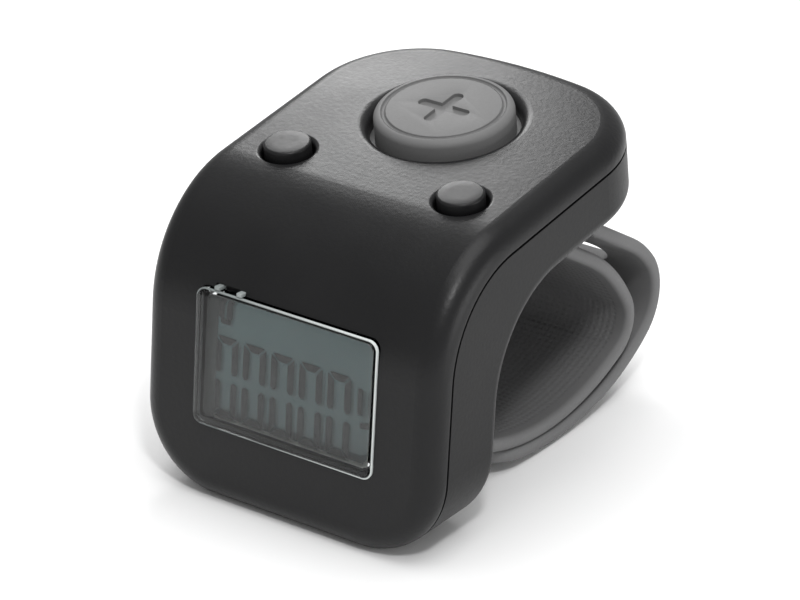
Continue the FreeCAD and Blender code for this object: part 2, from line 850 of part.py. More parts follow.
# --- Strap ---
def strap_edges(route, offset):
    """Edges of a strap's centre line moved sideways, and its two ends."""
    heading = math.radians(route["heading"])
    y, z = route["start"]
    edges = []

    def side_point():
        return Vector(0, y - offset * math.sin(heading), z + offset * math.cos(heading))

    first = side_point()
    start = first
    y += route["lead"] * math.cos(heading)
    z += route["lead"] * math.sin(heading)
    edges.append(line(start, side_point()))
    for radius, turn_degrees in route["arcs"]:
        turn = math.radians(turn_degrees)
        centre_y = y + radius * math.sin(heading)
        centre_z = z - radius * math.cos(heading)
        start = side_point()
        points = []
        for share in (0.5, 1.0):
            angle = heading - turn * share
            y = centre_y - radius * math.sin(angle)
            z = centre_z + radius * math.cos(angle)
            points.append(Vector(0, y - offset * math.sin(angle), z + offset * math.cos(angle)))
        heading -= turn
        edges.append(Part.Arc(start, points[0], points[1]).toShape())
    if route["tail"] > 0:
        start = side_point()
        y += route["tail"] * math.cos(heading)
        z += route["tail"] * math.sin(heading)
        edges.append(line(start, side_point()))
    return edges, first, side_point()


def strap_band(route, thickness, half_width):
    """Band of even thickness along a strap's centre line."""
    outside, outside_start, outside_end = strap_edges(route, thickness / 2)
    inside, inside_start, inside_end = strap_edges(route, -thickness / 2)
    edges = outside + inside + [line(outside_start, inside_start), line(outside_end, inside_end)]
    face = loop_face(edges)
    face.translate(Vector(-half_width, 0, 0))
    return face.extrude(Vector(2 * half_width, 0, 0))


def strap_station(route, distance):
    """Point and heading on a strap's centre line at a distance from its start."""
    heading = math.radians(route["heading"])
    y, z = route["start"]
    left = distance
    step = min(left, route["lead"])
    y += step * math.cos(heading)
    z += step * math.sin(heading)
    left -= step
    for radius, turn_degrees in route["arcs"]:
        step = min(left, radius * math.radians(turn_degrees))
        turn = step / radius
        y += radius * (math.sin(heading) - math.sin(heading - turn))
        z += radius * (math.cos(heading - turn) - math.cos(heading))
        heading -= turn
        left -= step
    y += left * math.cos(heading)
    z += left * math.sin(heading)
    return y, z, heading


def strap_frame(route, distance):
    """Frame on a strap: x across, y along it, z away from the finger."""
    y, z, heading = strap_station(route, distance)
    return Placement(Vector(0, y, z), Rotation(Vector(1, 0, 0), math.degrees(heading)))


outer_length = outer_line["lead"] + sum(r * math.radians(t) for r, t in outer_line["arcs"])
slot_places = [first_slot + slot_spacing * count for count in range(slot_count)]
stud_place = slot_places[-1]


def make_outer_strap():
    """Outer strap layer: eye round the rear pin, adjusting slots and a round tail."""
    band = strap_band(outer_line, strap_thickness, strap_half_width)
    eye = side_disc(eye_radius, -strap_half_width, 2 * strap_half_width, rear_pin_y, rear_pin_z)
    band = band.fuse(eye)
    hole = side_disc(pin_radius + pin_clearance, -FAR, 2 * FAR, rear_pin_y, rear_pin_z)
    band = band.cut(hole)
    for place in slot_places:
        cutter = slab(slot_width, slot_length, -2 * strap_thickness, 2 * strap_thickness,
                      slot_length * end_round)
        band = band.cut(put(cutter, strap_frame(outer_line, place)))
    reach = 2 * tail_corner
    around = slab(3 * strap_half_width, reach, -tail_cut, tail_cut, 0, 0, -reach / 2)
    kept = slab(2 * strap_half_width, 2 * reach, -tail_cut, tail_cut, tail_corner, 0, -reach)
    return band.cut(put(around.cut(kept), strap_frame(outer_line, outer_length)))


def make_inner_strap():
    """Inner strap layer: anchor bar behind the slot in the shell, and the stud that fills a slot."""
    band = strap_band(inner_line, strap_thickness, strap_half_width)
    anchor = strap_edges(inner_line, 0)[2]
    half = strap_half_width - anchor_bar_inset
    band = band.fuse(side_disc(anchor_bar_radius, -half, 2 * half, anchor.y, anchor.z))
    low = -strap_thickness - stud_through
    stud = slab(stud_width, stud_length, low, strap_thickness / 2, stud_length * end_round)
    return band.fuse(put(stud, nearest_inner_frame()))


def nearest_inner_frame():
    """Frame at the slot that the stud fills, moved onto the outer layer's inner side."""
    y, z, heading = strap_station(outer_line, stud_place)
    turned = Rotation(Vector(1, 0, 0), math.degrees(heading) + 180)
    base = Vector(0, y, z) + turned.multVec(Vector(0, 0, strap_thickness))
    return Placement(base, turned)


def make_rear_pin():
    """Steel pin through the ears and the outer strap's eye."""
    return side_disc(pin_radius, -pin_half_length(), 2 * pin_half_length(), rear_pin_y, rear_pin_z)


# --- Assembly ---
def build_pieces():
    """Every piece of the counter, as node name and list of solids."""
    case = rounded_case()
    cavity = case_form(wall)
    hollow = case.cut(cavity)
    pieces = {
        "top_cover": [make_top_cover(case, cavity)],
        "finger_shell": [make_finger_shell(case, cavity)],
        "battery_door": [make_battery_door(hollow)],
        "display_lens": [make_display_lens()],
        "display_glass": [front_plate(glass_size[0], glass_size[1], glass_top, glass_low)],
        "display_holder": [make_display_holder()],
        "light_guide": [make_light_guide()],
        "backlight_lamp": [make_backlight()],
        "upper_connector_strip": [make_connector_strip(1)],
        "lower_connector_strip": [make_connector_strip(-1)],
        "front_board": [make_front_board()],
        "top_board": [make_top_board()],
        "counter_chip": [make_chip()],
        "board_ribbon": [make_ribbon()],
        "left_cell": [make_cell(-1)],
        "right_cell": [make_cell(1)],
        "left_contact": [make_board_contact(-1)],
        "right_contact": [make_board_contact(1)],
        "cell_link": [make_cell_link()],
        "case_screws": make_case_screws(),
        "board_screws": make_board_screws(),
        "door_screw": [make_door_screw()],
        "inner_strap": [make_inner_strap()],
        "outer_strap": [make_outer_strap()],
        "rear_strap_pin": [make_rear_pin()],
    }
    for name, x, along, hole_radius, rounding in button_places:
        frame = button_frame(x, along)
        button = make_count_button() if name == "count" else make_small_button()
        pieces[name + "_button"] = [put(button, frame)]
        pieces[name + "_switch"] = [put(make_switch(), frame)]
        pieces[name + "_plunger"] = [put(make_plunger(), frame)]
    return pieces


def write_pieces(pieces):
    """Move the pieces onto the table, centred, and write one file each."""
    whole = Part.makeCompound([solid for solids in pieces.values() for solid in solids])
    box = whole.optimalBoundingBox(False)
    shift = Vector(-(box.XMin + box.XMax) / 2, -(box.YMin + box.YMax) / 2, -box.ZMin)
    os.makedirs("parts", exist_ok=True)
    for node, solids in pieces.items():
        moved = [solid.translated(shift) for solid in solids]
        shape = moved[0] if len(moved) == 1 else Part.makeCompound(moved)
        count = len(shape.Solids)
        valid = shape.isValid()
        print(f"{node}: solids {count}, valid {valid}, volume {shape.Volume:.2f} mm3")
        shape.exportStep("parts/" + node + ".step")
    print("box", round(box.XLength, 2), round(box.YLength, 2), round(box.ZLength, 2))
    print("shift", round(shift.x, 4), round(shift.y, 4), round(shift.z, 4))
    print("press axis", [round(value, 5) for value in (-top_out)])


if __name__ == "__main__":
    write_pieces(build_pieces())
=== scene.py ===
import json
import logging
import math
from collections.abc import Callable, Sequence
from dataclasses import dataclass
from enum import Enum

import bmesh
import bpy
from mathutils import Matrix, Vector


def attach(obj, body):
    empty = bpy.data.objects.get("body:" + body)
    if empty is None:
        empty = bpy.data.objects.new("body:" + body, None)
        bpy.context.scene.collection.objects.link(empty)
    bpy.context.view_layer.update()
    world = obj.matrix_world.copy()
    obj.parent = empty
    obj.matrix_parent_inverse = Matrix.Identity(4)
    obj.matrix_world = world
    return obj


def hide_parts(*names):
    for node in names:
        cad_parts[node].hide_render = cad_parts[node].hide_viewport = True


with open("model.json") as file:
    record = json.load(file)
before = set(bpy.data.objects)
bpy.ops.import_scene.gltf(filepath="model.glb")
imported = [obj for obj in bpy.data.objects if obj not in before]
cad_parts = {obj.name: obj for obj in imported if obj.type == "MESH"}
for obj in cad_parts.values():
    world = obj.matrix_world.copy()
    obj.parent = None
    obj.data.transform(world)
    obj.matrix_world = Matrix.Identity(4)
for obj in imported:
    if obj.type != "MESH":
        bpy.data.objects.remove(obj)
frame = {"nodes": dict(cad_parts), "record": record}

LOG = logging.getLogger("tally_counter")
MM = 0.001

# Lengths are in millimetres until a piece is set in its place; the scene itself is in metres.

NEAR = 0.01            # places closer than this count as one
MERGE_GAP = 0.0005     # points closer than this are merged
STANDING = 0.99        # share of an edge's length along z that makes it an upright
FACING = 0.9           # cosine above which a face looks a given way
LEVEL = 0.999          # cosine above which a face is level
FULL_ROUND = 0.48      # share of a bar's width that rounds its ends fully
DIMPLE_PITCH = 0.53    # pitch of the dimples on the finger's side


class Body(Enum):
    """Moving groups of the counter."""

    CASE = "case"
    COUNT = "count_press"
    RESET = "reset_press"
    LIGHT = "light_press"


class Blend(Enum):
    """Ways of joining one solid with another."""

    CUT = "DIFFERENCE"
    ADD = "UNION"


class Select(Enum):
    """Kinds of mesh element that an edit works on."""

    VERTS = "VERT"
    EDGES = "EDGE"
    FACES = "FACE"


# ---------------------------------------------------------------- frames of the case


@dataclass(frozen=True)
class CaseFrames:
    """Directions and reference frames of the bent case, as its maker drew them."""

    slope: float = math.radians(7.9)
    lean: float = math.radians(4.7)
    bend_radius: float = 10.8
    bend_centre: tuple[float, float, float] = (0.0, -7.3289, 13.9)

    @property
    def top_out(self) -> Vector:
        """Outward direction of the top."""
        return Vector((0.0, -math.sin(self.slope), math.cos(self.slope)))

    @property
    def top_back(self) -> Vector:
        """Direction along the top to the rear."""
        return Vector((0.0, math.cos(self.slope), math.sin(self.slope)))

    @property
    def front_out(self) -> Vector:
        """Outward direction of the front."""
        return Vector((0.0, -math.cos(self.lean), math.sin(self.lean)))

    @property
    def front_up(self) -> Vector:
        """Direction up the front."""
        return Vector((0.0, math.sin(self.lean), math.cos(self.lean)))

    @staticmethod
    def matrix(origin: Vector, upward: Vector, outward: Vector) -> Matrix:
        """Frame with x across the case.

        Args:
            origin: Point of the frame in millimetres.
            upward: Direction of its y axis.
            outward: Direction of its z axis.

        Returns:
            The frame as a matrix, in millimetres.
        """
        across = upward.cross(outward)
        turn = Matrix((across, upward, outward)).transposed().to_4x4()
        return Matrix.Translation(origin) @ turn

    def top(self, along: float, depth: float = 0.0, across: float = 0.0) -> Matrix:
        """Frame on the top of the case.

        Args:
            along: Distance from the bend to the rear.
            depth: Depth below the surface.
            across: Distance to the right of the middle.

        Returns:
            The frame, with z outwards and y to the rear.
        """
        origin = Vector(self.bend_centre) + self.top_out * (self.bend_radius - depth)
        origin += self.top_back * along + Vector((across, 0.0, 0.0))
        return self.matrix(origin, self.top_back, self.top_out)

    def front(self, down: float, depth: float = 0.0, across: float = 0.0) -> Matrix:
        """Frame on the front of the case.

        Args:
            down: Distance from the bend down the front.
            depth: Depth below the surface.
            across: Distance to the right of the middle.

        Returns:
            The frame, with z outwards and y upwards.
        """
        origin = Vector(self.bend_centre) + self.front_out * (self.bend_radius - depth)
        origin += self.front_up * -down + Vector((across, 0.0, 0.0))
        return self.matrix(origin, self.front_up, self.front_out)


CASE = CaseFrames()


# ---------------------------------------------------------------- modelling steps


def deselect() -> None:
    """Clears the selection of objects."""
    bpy.ops.object.select_all(action="DESELECT")


def take(piece: bpy.types.Object) -> None:
    """Makes one piece the only selected and the active one.

    Args:
        piece: Piece to work on.
    """
    deselect()
    piece.select_set(True)
    bpy.context.view_layer.objects.active = piece


def newest(name: str) -> bpy.types.Object:
    """Names the object that an operator has just added.

    Args:
        name: Name for the object and its mesh.

    Returns:
        The object.
    """
    piece = bpy.context.active_object
    piece.name = name
    piece.data.name = name
    return piece


def open_mesh(piece: bpy.types.Object, kind: Select = Select.VERTS) -> None:
    """Enters edit mode with nothing selected.

    Args:
        piece: Piece to edit.
        kind: Kind of element to select.
    """
    take(piece)
    bpy.ops.object.mode_set(mode="EDIT")
    bpy.ops.mesh.select_mode(type=kind.value)
    bpy.ops.mesh.select_all(action="DESELECT")


def close_mesh() -> None:
    """Leaves edit mode."""
    bpy.ops.object.mode_set(mode="OBJECT")


def centre_of(element: bmesh.types.BMVert | bmesh.types.BMEdge | bmesh.types.BMFace) -> Vector:
    """Middle of a mesh element.

    Args:
        element: Vertex, edge or face.

    Returns:
        Its middle in the piece's own coordinates.
    """
    if isinstance(element, bmesh.types.BMVert):
        return element.co
    return sum((v.co for v in element.verts), Vector()) / len(element.verts)


def stands_up(edge: bmesh.types.BMEdge) -> bool:
    """Whether an edge stands along z."""
    return abs((edge.verts[0].co - edge.verts[1].co).normalized().z) > STANDING


def pick(piece: bpy.types.Object, kind: Select, wanted: Callable[..., bool]) -> None:
    """Selects the elements that pass a test, in edit mode.

    Args:
        piece: Piece in edit mode.
        kind: Kind of element.
        wanted: Test that takes the element's middle and the element.
    """
    bpy.ops.mesh.select_mode(type=kind.value)
    bpy.ops.mesh.select_all(action="DESELECT")
    net = bmesh.from_edit_mesh(piece.data)
    net.normal_update()
    pool = {Select.VERTS: net.verts, Select.EDGES: net.edges, Select.FACES: net.faces}[kind]
    for element in pool:
        if wanted(centre_of(element), element):
            element.select_set(True)
    net.select_flush_mode()
    bmesh.update_edit_mesh(piece.data)


def block(name: str, size: Sequence[float], middle: Sequence[float]) -> bpy.types.Object:
    """Box-shaped start of a piece.

    Args:
        name: Name of the piece.
        size: Its three sides.
        middle: Its centre.

    Returns:
        The new piece.
    """
    deselect()
    bpy.ops.mesh.primitive_cube_add(size=1.0, location=middle, scale=size)
    piece = newest(name)
    take(piece)
    bpy.ops.object.transform_apply(location=True, rotation=True, scale=True)
    return piece


def round_uprights(piece: bpy.types.Object, radius: float, segments: int) -> None:
    """Rounds the edges that stand along z.

    Args:
        piece: Piece to edit.
        radius: Radius of the corners.
        segments: Number of steps round each.
    """
    open_mesh(piece, Select.EDGES)
    pick(piece, Select.EDGES, lambda _, e: stands_up(e))
    bpy.ops.mesh.bevel(offset=radius, segments=segments, affect="EDGES", clamp_overlap=False)
    close_mesh()


def spun(name: str, profile: Sequence[tuple[float, float]], steps: int = 96) -> bpy.types.Object:
    """Turned piece: a profile of (radius, height) spun round z.

    Args:
        name: Name of the piece.
        profile: Points from the top middle round to the bottom middle.
        steps: Steps of the spin.

    Returns:
        The new piece.
    """
    deselect()
    bpy.ops.mesh.primitive_plane_add(size=0.1)
    piece = newest(name)
    open_mesh(piece)
    bpy.ops.mesh.select_all(action="SELECT")
    bpy.ops.mesh.merge(type="CENTER")
    here = Vector((0.0, 0.0, 0.0))
    for index, (radius, height) in enumerate(profile):
        there = Vector((radius, 0.0, height))
        if index == 0:
            bpy.ops.transform.translate(value=there - here)
        else:
            bpy.ops.mesh.extrude_vertices_move(TRANSFORM_OT_translate={"value": there - here})
        here = there
    bpy.ops.mesh.select_all(action="SELECT")
    bpy.ops.mesh.spin(steps=steps, angle=math.tau, center=(0.0, 0.0, 0.0), axis=(0.0, 0.0, 1.0))
    bpy.ops.mesh.select_all(action="SELECT")
    bpy.ops.mesh.remove_doubles(threshold=MERGE_GAP)
    bpy.ops.mesh.normals_make_consistent(inside=False)
    close_mesh()
    return piece


def turn_of(centre: tuple[float, float], radius: float, start: float, end: float,
            steps: int) -> list[tuple[float, float]]:
    """Points along an arc of a profile.

    Args:
        centre: Centre of the arc.
        radius: Its radius.
        start: First angle in degrees.
        end: Last angle in degrees.
        steps: Number of runs.

    Returns:
        The points, both ends included.
    """
    angles = [math.radians(start + (end - start) * n / steps) for n in range(steps + 1)]
    return [(centre[0] + radius * math.cos(a), centre[1] + radius * math.sin(a)) for a in angles]


def combine(piece: bpy.types.Object, tool: bpy.types.Object, how: Blend) -> bpy.types.Object:
    """Cuts or adds one solid, and removes it.

    Args:
        piece: Piece that stays.
        tool: Solid that is used up.
        how: Whether it is cut or added.

    Returns:
        The piece.
    """
    take(piece)
    step = piece.modifiers.new("joined", "BOOLEAN")
    step.operation = how.value
    step.solver = "EXACT"
    step.object = tool
    bpy.ops.object.modifier_apply(modifier=step.name)
    bpy.data.objects.remove(tool, do_unlink=True)
    return piece


def soften(piece: bpy.types.Object, width: float, segments: int = 3, angle: float = 40.0) -> None:
    """Rounds every edge sharper than an angle.

    Args:
        piece: Piece to finish.
        width: Width of the rounding.
        segments: Steps across it.
        angle: Smallest angle that is rounded, in degrees.
    """
    take(piece)
    step = piece.modifiers.new("softened", "BEVEL")
    step.width = width
    step.segments = segments
    step.limit_method = "ANGLE"
    step.angle_limit = math.radians(angle)
    step.use_clamp_overlap = True
    step.harden_normals = False
    bpy.ops.object.modifier_apply(modifier=step.name)


def twin(piece: bpy.types.Object, name: str) -> bpy.types.Object:
    """Copy of a piece with its own mesh.

    Args:
        piece: Piece to copy.
        name: Name of the copy.

    Returns:
        The copy, in the scene.
    """
    copy = piece.copy()
    copy.data = piece.data.copy()
    copy.name = name
    bpy.context.scene.collection.objects.link(copy)
    return copy


def side_disc(piece: bpy.types.Object, y: float, z: float) -> bpy.types.Object:
    """Turns a piece spun about z so that its axis lies along x, and sets it in the side plane.

    Args:
        piece: Piece in millimetres.
        y: Place of its axis from the case's bend.
        z: Height of its axis from the case's bend.

    Returns:
        The finished mesh in its place.
    """
    middle = Vector(CASE.bend_centre) + Vector((0.0, y, z))
    return seat(piece, Matrix.Translation(middle) @ Matrix.Rotation(math.pi / 2, 4, "Y"))


def seat(piece: bpy.types.Object, place: Matrix) -> bpy.types.Object:
    """Sets a piece drawn at the origin into its place, in metres.

    Args:
        piece: Piece in millimetres.
        place: Frame in millimetres.

    Returns:
        The piece, with its place in its mesh.
    """
    take(piece)
    piece.matrix_world = Matrix.Scale(MM, 4) @ place @ piece.matrix_world
    bpy.ops.object.transform_apply(location=True, rotation=True, scale=True)
    return piece


def joined(pieces: Sequence[bpy.types.Object]) -> bpy.types.Object:
    """Makes one piece of several, under the name of the first.

    Args:
        pieces: Pieces to join.

    Returns:
        The one piece.
    """
    deselect()
    for piece in pieces:
        piece.select_set(True)
    bpy.context.view_layer.objects.active = pieces[0]
    bpy.ops.object.join()
    return pieces[0]


def finish_piece(piece: bpy.types.Object, material: bpy.types.Material, body: Body,
                 stands_for: Sequence[str] = (), smooth_angle: float = 35.0) -> bpy.types.Object:
    """Dresses a finished piece and fixes it to its body.

    Args:
        piece: Piece in its place.
        material: Its finish.
        body: Group that it moves with.
        stands_for: Solids that it replaces.
        smooth_angle: Edges sharper than this stay crisp, in degrees.

    Returns:
        The piece.
    """
    take(piece)
    bpy.ops.object.shade_smooth_by_angle(angle=math.radians(smooth_angle))
    piece.data.materials.clear()
    piece.data.materials.append(material)
    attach(piece, body.value)
    if stands_for:
        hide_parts(*stands_for)
    LOG.info("%s: %d faces, on %s", piece.name, len(piece.data.polygons), body.value)
    return piece


# ---------------------------------------------------------------- shader parts


class Net:
    """Small helper that adds and joins shader nodes."""

    def __init__(self, tree: bpy.types.NodeTree) -> None:
        """Works on one node tree."""
        self.tree = tree

    def add(self, kind: str, **settings: object) -> bpy.types.Node:
        """Adds a node and sets its properties.

        Args:
            kind: Type of the node.
            **settings: Properties and their values.

        Returns:
            The node.
        """
        node = self.tree.nodes.new(kind)
        for key, value in settings.items():
            setattr(node, key, value)
        return node

    def feed(self, target: bpy.types.NodeSocket, value: object) -> None:
        """Links a socket, or sets it to a value.

        Args:
            target: Input to feed.
            value: Output to link, or a plain value.
        """
        if isinstance(value, bpy.types.NodeSocket):
            self.tree.links.new(value, target)
        else:
            target.default_value = value

    def maths(self, operation: str, *values: object, clamp: bool = False) -> bpy.types.NodeSocket:
        """Adds a maths node.

        Args:
            operation: What it works out.
            *values: Outputs or numbers that go in.
            clamp: Whether the result is kept between nought and one.

        Returns:
            Its output.
        """
        node = self.add("ShaderNodeMath", operation=operation, use_clamp=clamp)
        for socket, value in zip(node.inputs, values):
            self.feed(socket, value)
        return node.outputs[0]

    def vector(self, operation: str, *values: object) -> bpy.types.Node:
        """Adds a vector maths node.

        Args:
            operation: What it works out.
            *values: Outputs or vectors that go in.

        Returns:
            The node.
        """
        node = self.add("ShaderNodeVectorMath", operation=operation)
        for socket, value in zip(node.inputs, values):
            self.feed(socket, value)
        return node

    def noise(self, place: bpy.types.NodeSocket, scale: object, detail: float) -> bpy.types.NodeSocket:
        """Adds a noise texture.

        Args:
            place: Point that it is read at.
            scale: Its scale per metre.
            detail: Its number of finer layers.

        Returns:
            Its value, from nought to one.
        """
        node = self.add("ShaderNodeTexNoise")
        self.feed(node.inputs["Vector"], place)
        self.feed(node.inputs["Scale"], scale)
        node.inputs["Detail"].default_value = detail
        return node.outputs["Fac"]

    def scaled(self, colour: object, amount: bpy.types.NodeSocket) -> bpy.types.NodeSocket:
        """Multiplies a colour by a changing value.

        Args:
            colour: Colour, or the output that gives it.
            amount: Output that it is multiplied by.

        Returns:
            The new colour's output.
        """
        node = self.add("ShaderNodeVectorMath", operation="SCALE")
        self.feed(node.inputs[0], colour)
        self.feed(node.inputs["Scale"], amount)
        return node.outputs[0]

    def varied(self, noise: bpy.types.NodeSocket, swing: float, low: float) -> bpy.types.NodeSocket:
        """Adds a value that rises with a noise.

        Args:
            noise: Output of the noise.
            swing: How far the value rises.
            low: Value where the noise is nought.

        Returns:
            The value's output.
        """
        return self.maths("ADD", self.maths("MULTIPLY", noise, swing), low)

    def bump(self, height: bpy.types.NodeSocket, depth: float,
             under: bpy.types.NodeSocket | None = None) -> bpy.types.NodeSocket:
        """Adds a bump node.

        Args:
            height: Output that gives the relief.
            depth: Depth of the relief in millimetres.
            under: Surface direction that it starts from.

        Returns:
            The bent surface direction.
        """
        node = self.add("ShaderNodeBump")
        node.inputs["Distance"].default_value = depth * MM
        self.feed(node.inputs["Height"], height)
        if under is not None:
            self.feed(node.inputs["Normal"], under)
        return node.outputs["Normal"]


def material_start(name: str) -> tuple[bpy.types.Material, Net, bpy.types.Node]:
    """Starts a material.

    Args:
        name: Name of the material.

    Returns:
        The material, its node helper and its main shader.
    """
    material = bpy.data.materials.new(name)
    material.use_nodes = True
    return material, Net(material.node_tree), material.node_tree.nodes["Principled BSDF"]


def group_start(name: str, inputs: Sequence[tuple[str, str]],
                outputs: Sequence[tuple[str, str]]) -> tuple[bpy.types.NodeTree, Net]:
    """Starts a shader node group.

    Args:
        name: Name of the group.
        inputs: Names and socket types that go in.
        outputs: Names and socket types that come out.

    Returns:
        The group and its node helper.
    """
    tree = bpy.data.node_groups.new(name, "ShaderNodeTree")
    for label, kind in inputs:
        tree.interface.new_socket(name=label, in_out="INPUT", socket_type=kind)
    for label, kind in outputs:
        tree.interface.new_socket(name=label, in_out="OUTPUT", socket_type=kind)
    return tree, Net(tree)


NOISE_MIDDLE = 0.5     # middle value of a noise
CLOUD_DETAIL = 3.0     # finer layers of the soft colour change
GRAIN_DETAIL = 4.0     # finer layers of the moulded grain
CLOUD_WEIGHT = 3.0     # strength of the soft colour change beside the grain's
DIMPLE_LIP = 0.1       # share of the wave that stays flat between dimples
DIMPLE_BLEND = 0.15    # softness of a dimple's rim
FACING_START = 0.3     # cosine at which a surface starts to count as facing the finger
FACING_RATE = 4.0      # how fast it then comes to count fully
SADDLE_LOW = 5.0       # height above which the underside of the top has dimples
SADDLE_REAR = 2.0      # the rear side of the front has dimples up to here


def moulded_grain() -> bpy.types.NodeTree:
    """Shared effect: soft colour change, patchy gloss and a fine moulded grain.

    Returns:
        The group, built once.
    """
    name = "moulded_grain"
    if name in bpy.data.node_groups:
        return bpy.data.node_groups[name]
    number = "NodeSocketFloat"
    tree, net = group_start(
        name,
        [("Colour", "NodeSocketColor"), ("Tone", number), ("Tone Scale", number), ("Grain Scale", number),
         ("Roughness", number), ("Spread", number)],
        [("Colour", "NodeSocketColor"), ("Roughness", number), ("Height", number)])
    given = net.add("NodeGroupInput").outputs
    where = net.add("ShaderNodeTexCoord").outputs["Object"]
    cloud = net.noise(where, given["Tone Scale"], CLOUD_DETAIL)
    grain = net.noise(where, given["Grain Scale"], GRAIN_DETAIL)
    drift = net.maths("MULTIPLY", given["Tone"], CLOUD_WEIGHT)
    shift = net.maths("MULTIPLY", net.maths("SUBTRACT", cloud, NOISE_MIDDLE), drift)
    speck = net.maths("MULTIPLY", net.maths("SUBTRACT", grain, NOISE_MIDDLE), given["Tone"])
    amount = net.maths("ADD", net.maths("ADD", shift, speck), 1.0)
    colour = net.scaled(given["Colour"], amount)
    gloss = net.maths("MULTIPLY", net.maths("SUBTRACT", cloud, grain), given["Spread"])
    rough = net.maths("ADD", given["Roughness"], gloss, clamp=True)
    out = net.add("NodeGroupOutput").inputs
    net.feed(out["Colour"], colour)
    net.feed(out["Roughness"], rough)
    net.feed(out["Height"], grain)
    return tree


def dimple_grid() -> bpy.types.NodeTree:
    """Shared effect: a fine square grid of dimples on the finger saddle only.

    Returns:
        The group, built once.
    """
    name = "dimple_grid"
    if name in bpy.data.node_groups:
        return bpy.data.node_groups[name]
    tree, net = group_start(name, [("Pitch", "NodeSocketFloat")], [("Height", "NodeSocketFloat")])
    given = net.add("NodeGroupInput").outputs
    source = net.add("ShaderNodeTexCoord").outputs
    split = net.add("ShaderNodeSeparateXYZ")
    net.feed(split.inputs[0], source["Object"])
    x, y, z = split.outputs
    along = net.maths("ADD", y, z)

    def wave(place: bpy.types.NodeSocket) -> bpy.types.NodeSocket:
        """Cosine of a place measured in pitches."""
        turns = net.maths("DIVIDE", place, given["Pitch"])
        return net.maths("COSINE", net.maths("MULTIPLY", turns, math.tau))

    waves = net.maths("MULTIPLY", net.maths("ADD", wave(x), wave(along)), 0.5)
    dimple = net.maths("SMOOTH_MAX", net.maths("SUBTRACT", waves, DIMPLE_LIP), 0.0, DIMPLE_BLEND)

    def facing(direction: Vector) -> bpy.types.NodeSocket:
        """How far the surface faces a direction, from nought to one."""
        dot = net.vector("DOT_PRODUCT", source["Normal"], tuple(direction)).outputs["Value"]
        return net.maths("MULTIPLY", net.maths("SUBTRACT", dot, FACING_START), FACING_RATE, clamp=True)

    above, ahead = net.maths("GREATER_THAN", z, SADDLE_LOW * MM), net.maths("LESS_THAN", y, SADDLE_REAR * MM)
    under = net.maths("MULTIPLY", facing(-CASE.top_out), above)
    behind = net.maths("MULTIPLY", facing(-CASE.front_out), ahead)
    mask = net.maths("MAXIMUM", under, behind)
    out = net.add("NodeGroupOutput").inputs
    net.feed(out["Height"], net.maths("MULTIPLY", net.maths("MULTIPLY", dimple, mask), -1.0))
    return tree


# ---------------------------------------------------------------- finishes


@dataclass(frozen=True)
class Moulded:
    """Plastic, rubber or metal with a fine grain."""

    name: str
    colour: tuple[float, float, float]
    roughness: float
    tone: float = 0.12
    tone_scale: float = 160.0
    grain_scale: float = 3200.0
    grain_depth: float = 0.006
    spread: float = 0.12
    metallic: float = 0.0
    coat: float = 0.0
    specular: float = 0.5
    dimple_pitch: float = 0.0
    dimple_depth: float = 0.0

    def build(self) -> bpy.types.Material:
        """Makes the material.

        Returns:
            The finished material.
        """
        material, net, shader = material_start(self.name)
        shader.inputs["Metallic"].default_value = self.metallic
        shader.inputs["Coat Weight"].default_value = self.coat
        shader.inputs["Specular IOR Level"].default_value = self.specular
        grain = net.add("ShaderNodeGroup", node_tree=moulded_grain())
        grain.inputs["Colour"].default_value = (*self.colour, 1.0)
        grain.inputs["Tone"].default_value = self.tone
        grain.inputs["Tone Scale"].default_value = self.tone_scale
        grain.inputs["Grain Scale"].default_value = self.grain_scale
        grain.inputs["Roughness"].default_value = self.roughness
        grain.inputs["Spread"].default_value = self.spread
        net.feed(shader.inputs["Base Color"], grain.outputs["Colour"])
        net.feed(shader.inputs["Roughness"], grain.outputs["Roughness"])
        relief = net.bump(grain.outputs["Height"], self.grain_depth)
        if self.dimple_depth > 0.0:
            dots = net.add("ShaderNodeGroup", node_tree=dimple_grid())
            dots.inputs["Pitch"].default_value = self.dimple_pitch * MM
            relief = net.bump(dots.outputs["Height"], self.dimple_depth, relief)
        net.feed(shader.inputs["Normal"], relief)
        return material


@dataclass(frozen=True)
class ClearPlastic:
    """Polished clear plastic with the faint waviness of a moulding."""

    name: str
    colour: tuple[float, float, float] = (0.97, 1.0, 0.995)
    ior: float = 1.36
    wave_scale: float = 220.0
    wave_depth: float = 0.006
    smear_scale: float = 900.0
    smear_power: float = 3.0
    smear_roughness: float = 0.03
    tint_scale: float = 90.0
    tint_swing: float = 0.06
    tint_low: float = 0.92

    def build(self) -> bpy.types.Material:
        """Makes the material.

        Returns:
            The finished material.
        """
        material, net, shader = material_start(self.name)
        shader.inputs["Metallic"].default_value = 0.0
        shader.inputs["Transmission Weight"].default_value = 1.0
        shader.inputs["IOR"].default_value = self.ior
        where = net.add("ShaderNodeTexCoord").outputs["Object"]
        smear = net.maths("POWER", net.noise(where, self.smear_scale, 3.0), self.smear_power)
        net.feed(shader.inputs["Roughness"], net.maths("MULTIPLY", smear, self.smear_roughness))
        brightness = net.varied(net.noise(where, self.tint_scale, 2.0), self.tint_swing, self.tint_low)
        net.feed(shader.inputs["Base Color"], net.scaled(self.colour, brightness))
        net.feed(shader.inputs["Normal"], net.bump(net.noise(where, self.wave_scale, 1.0), self.wave_depth))
        return material


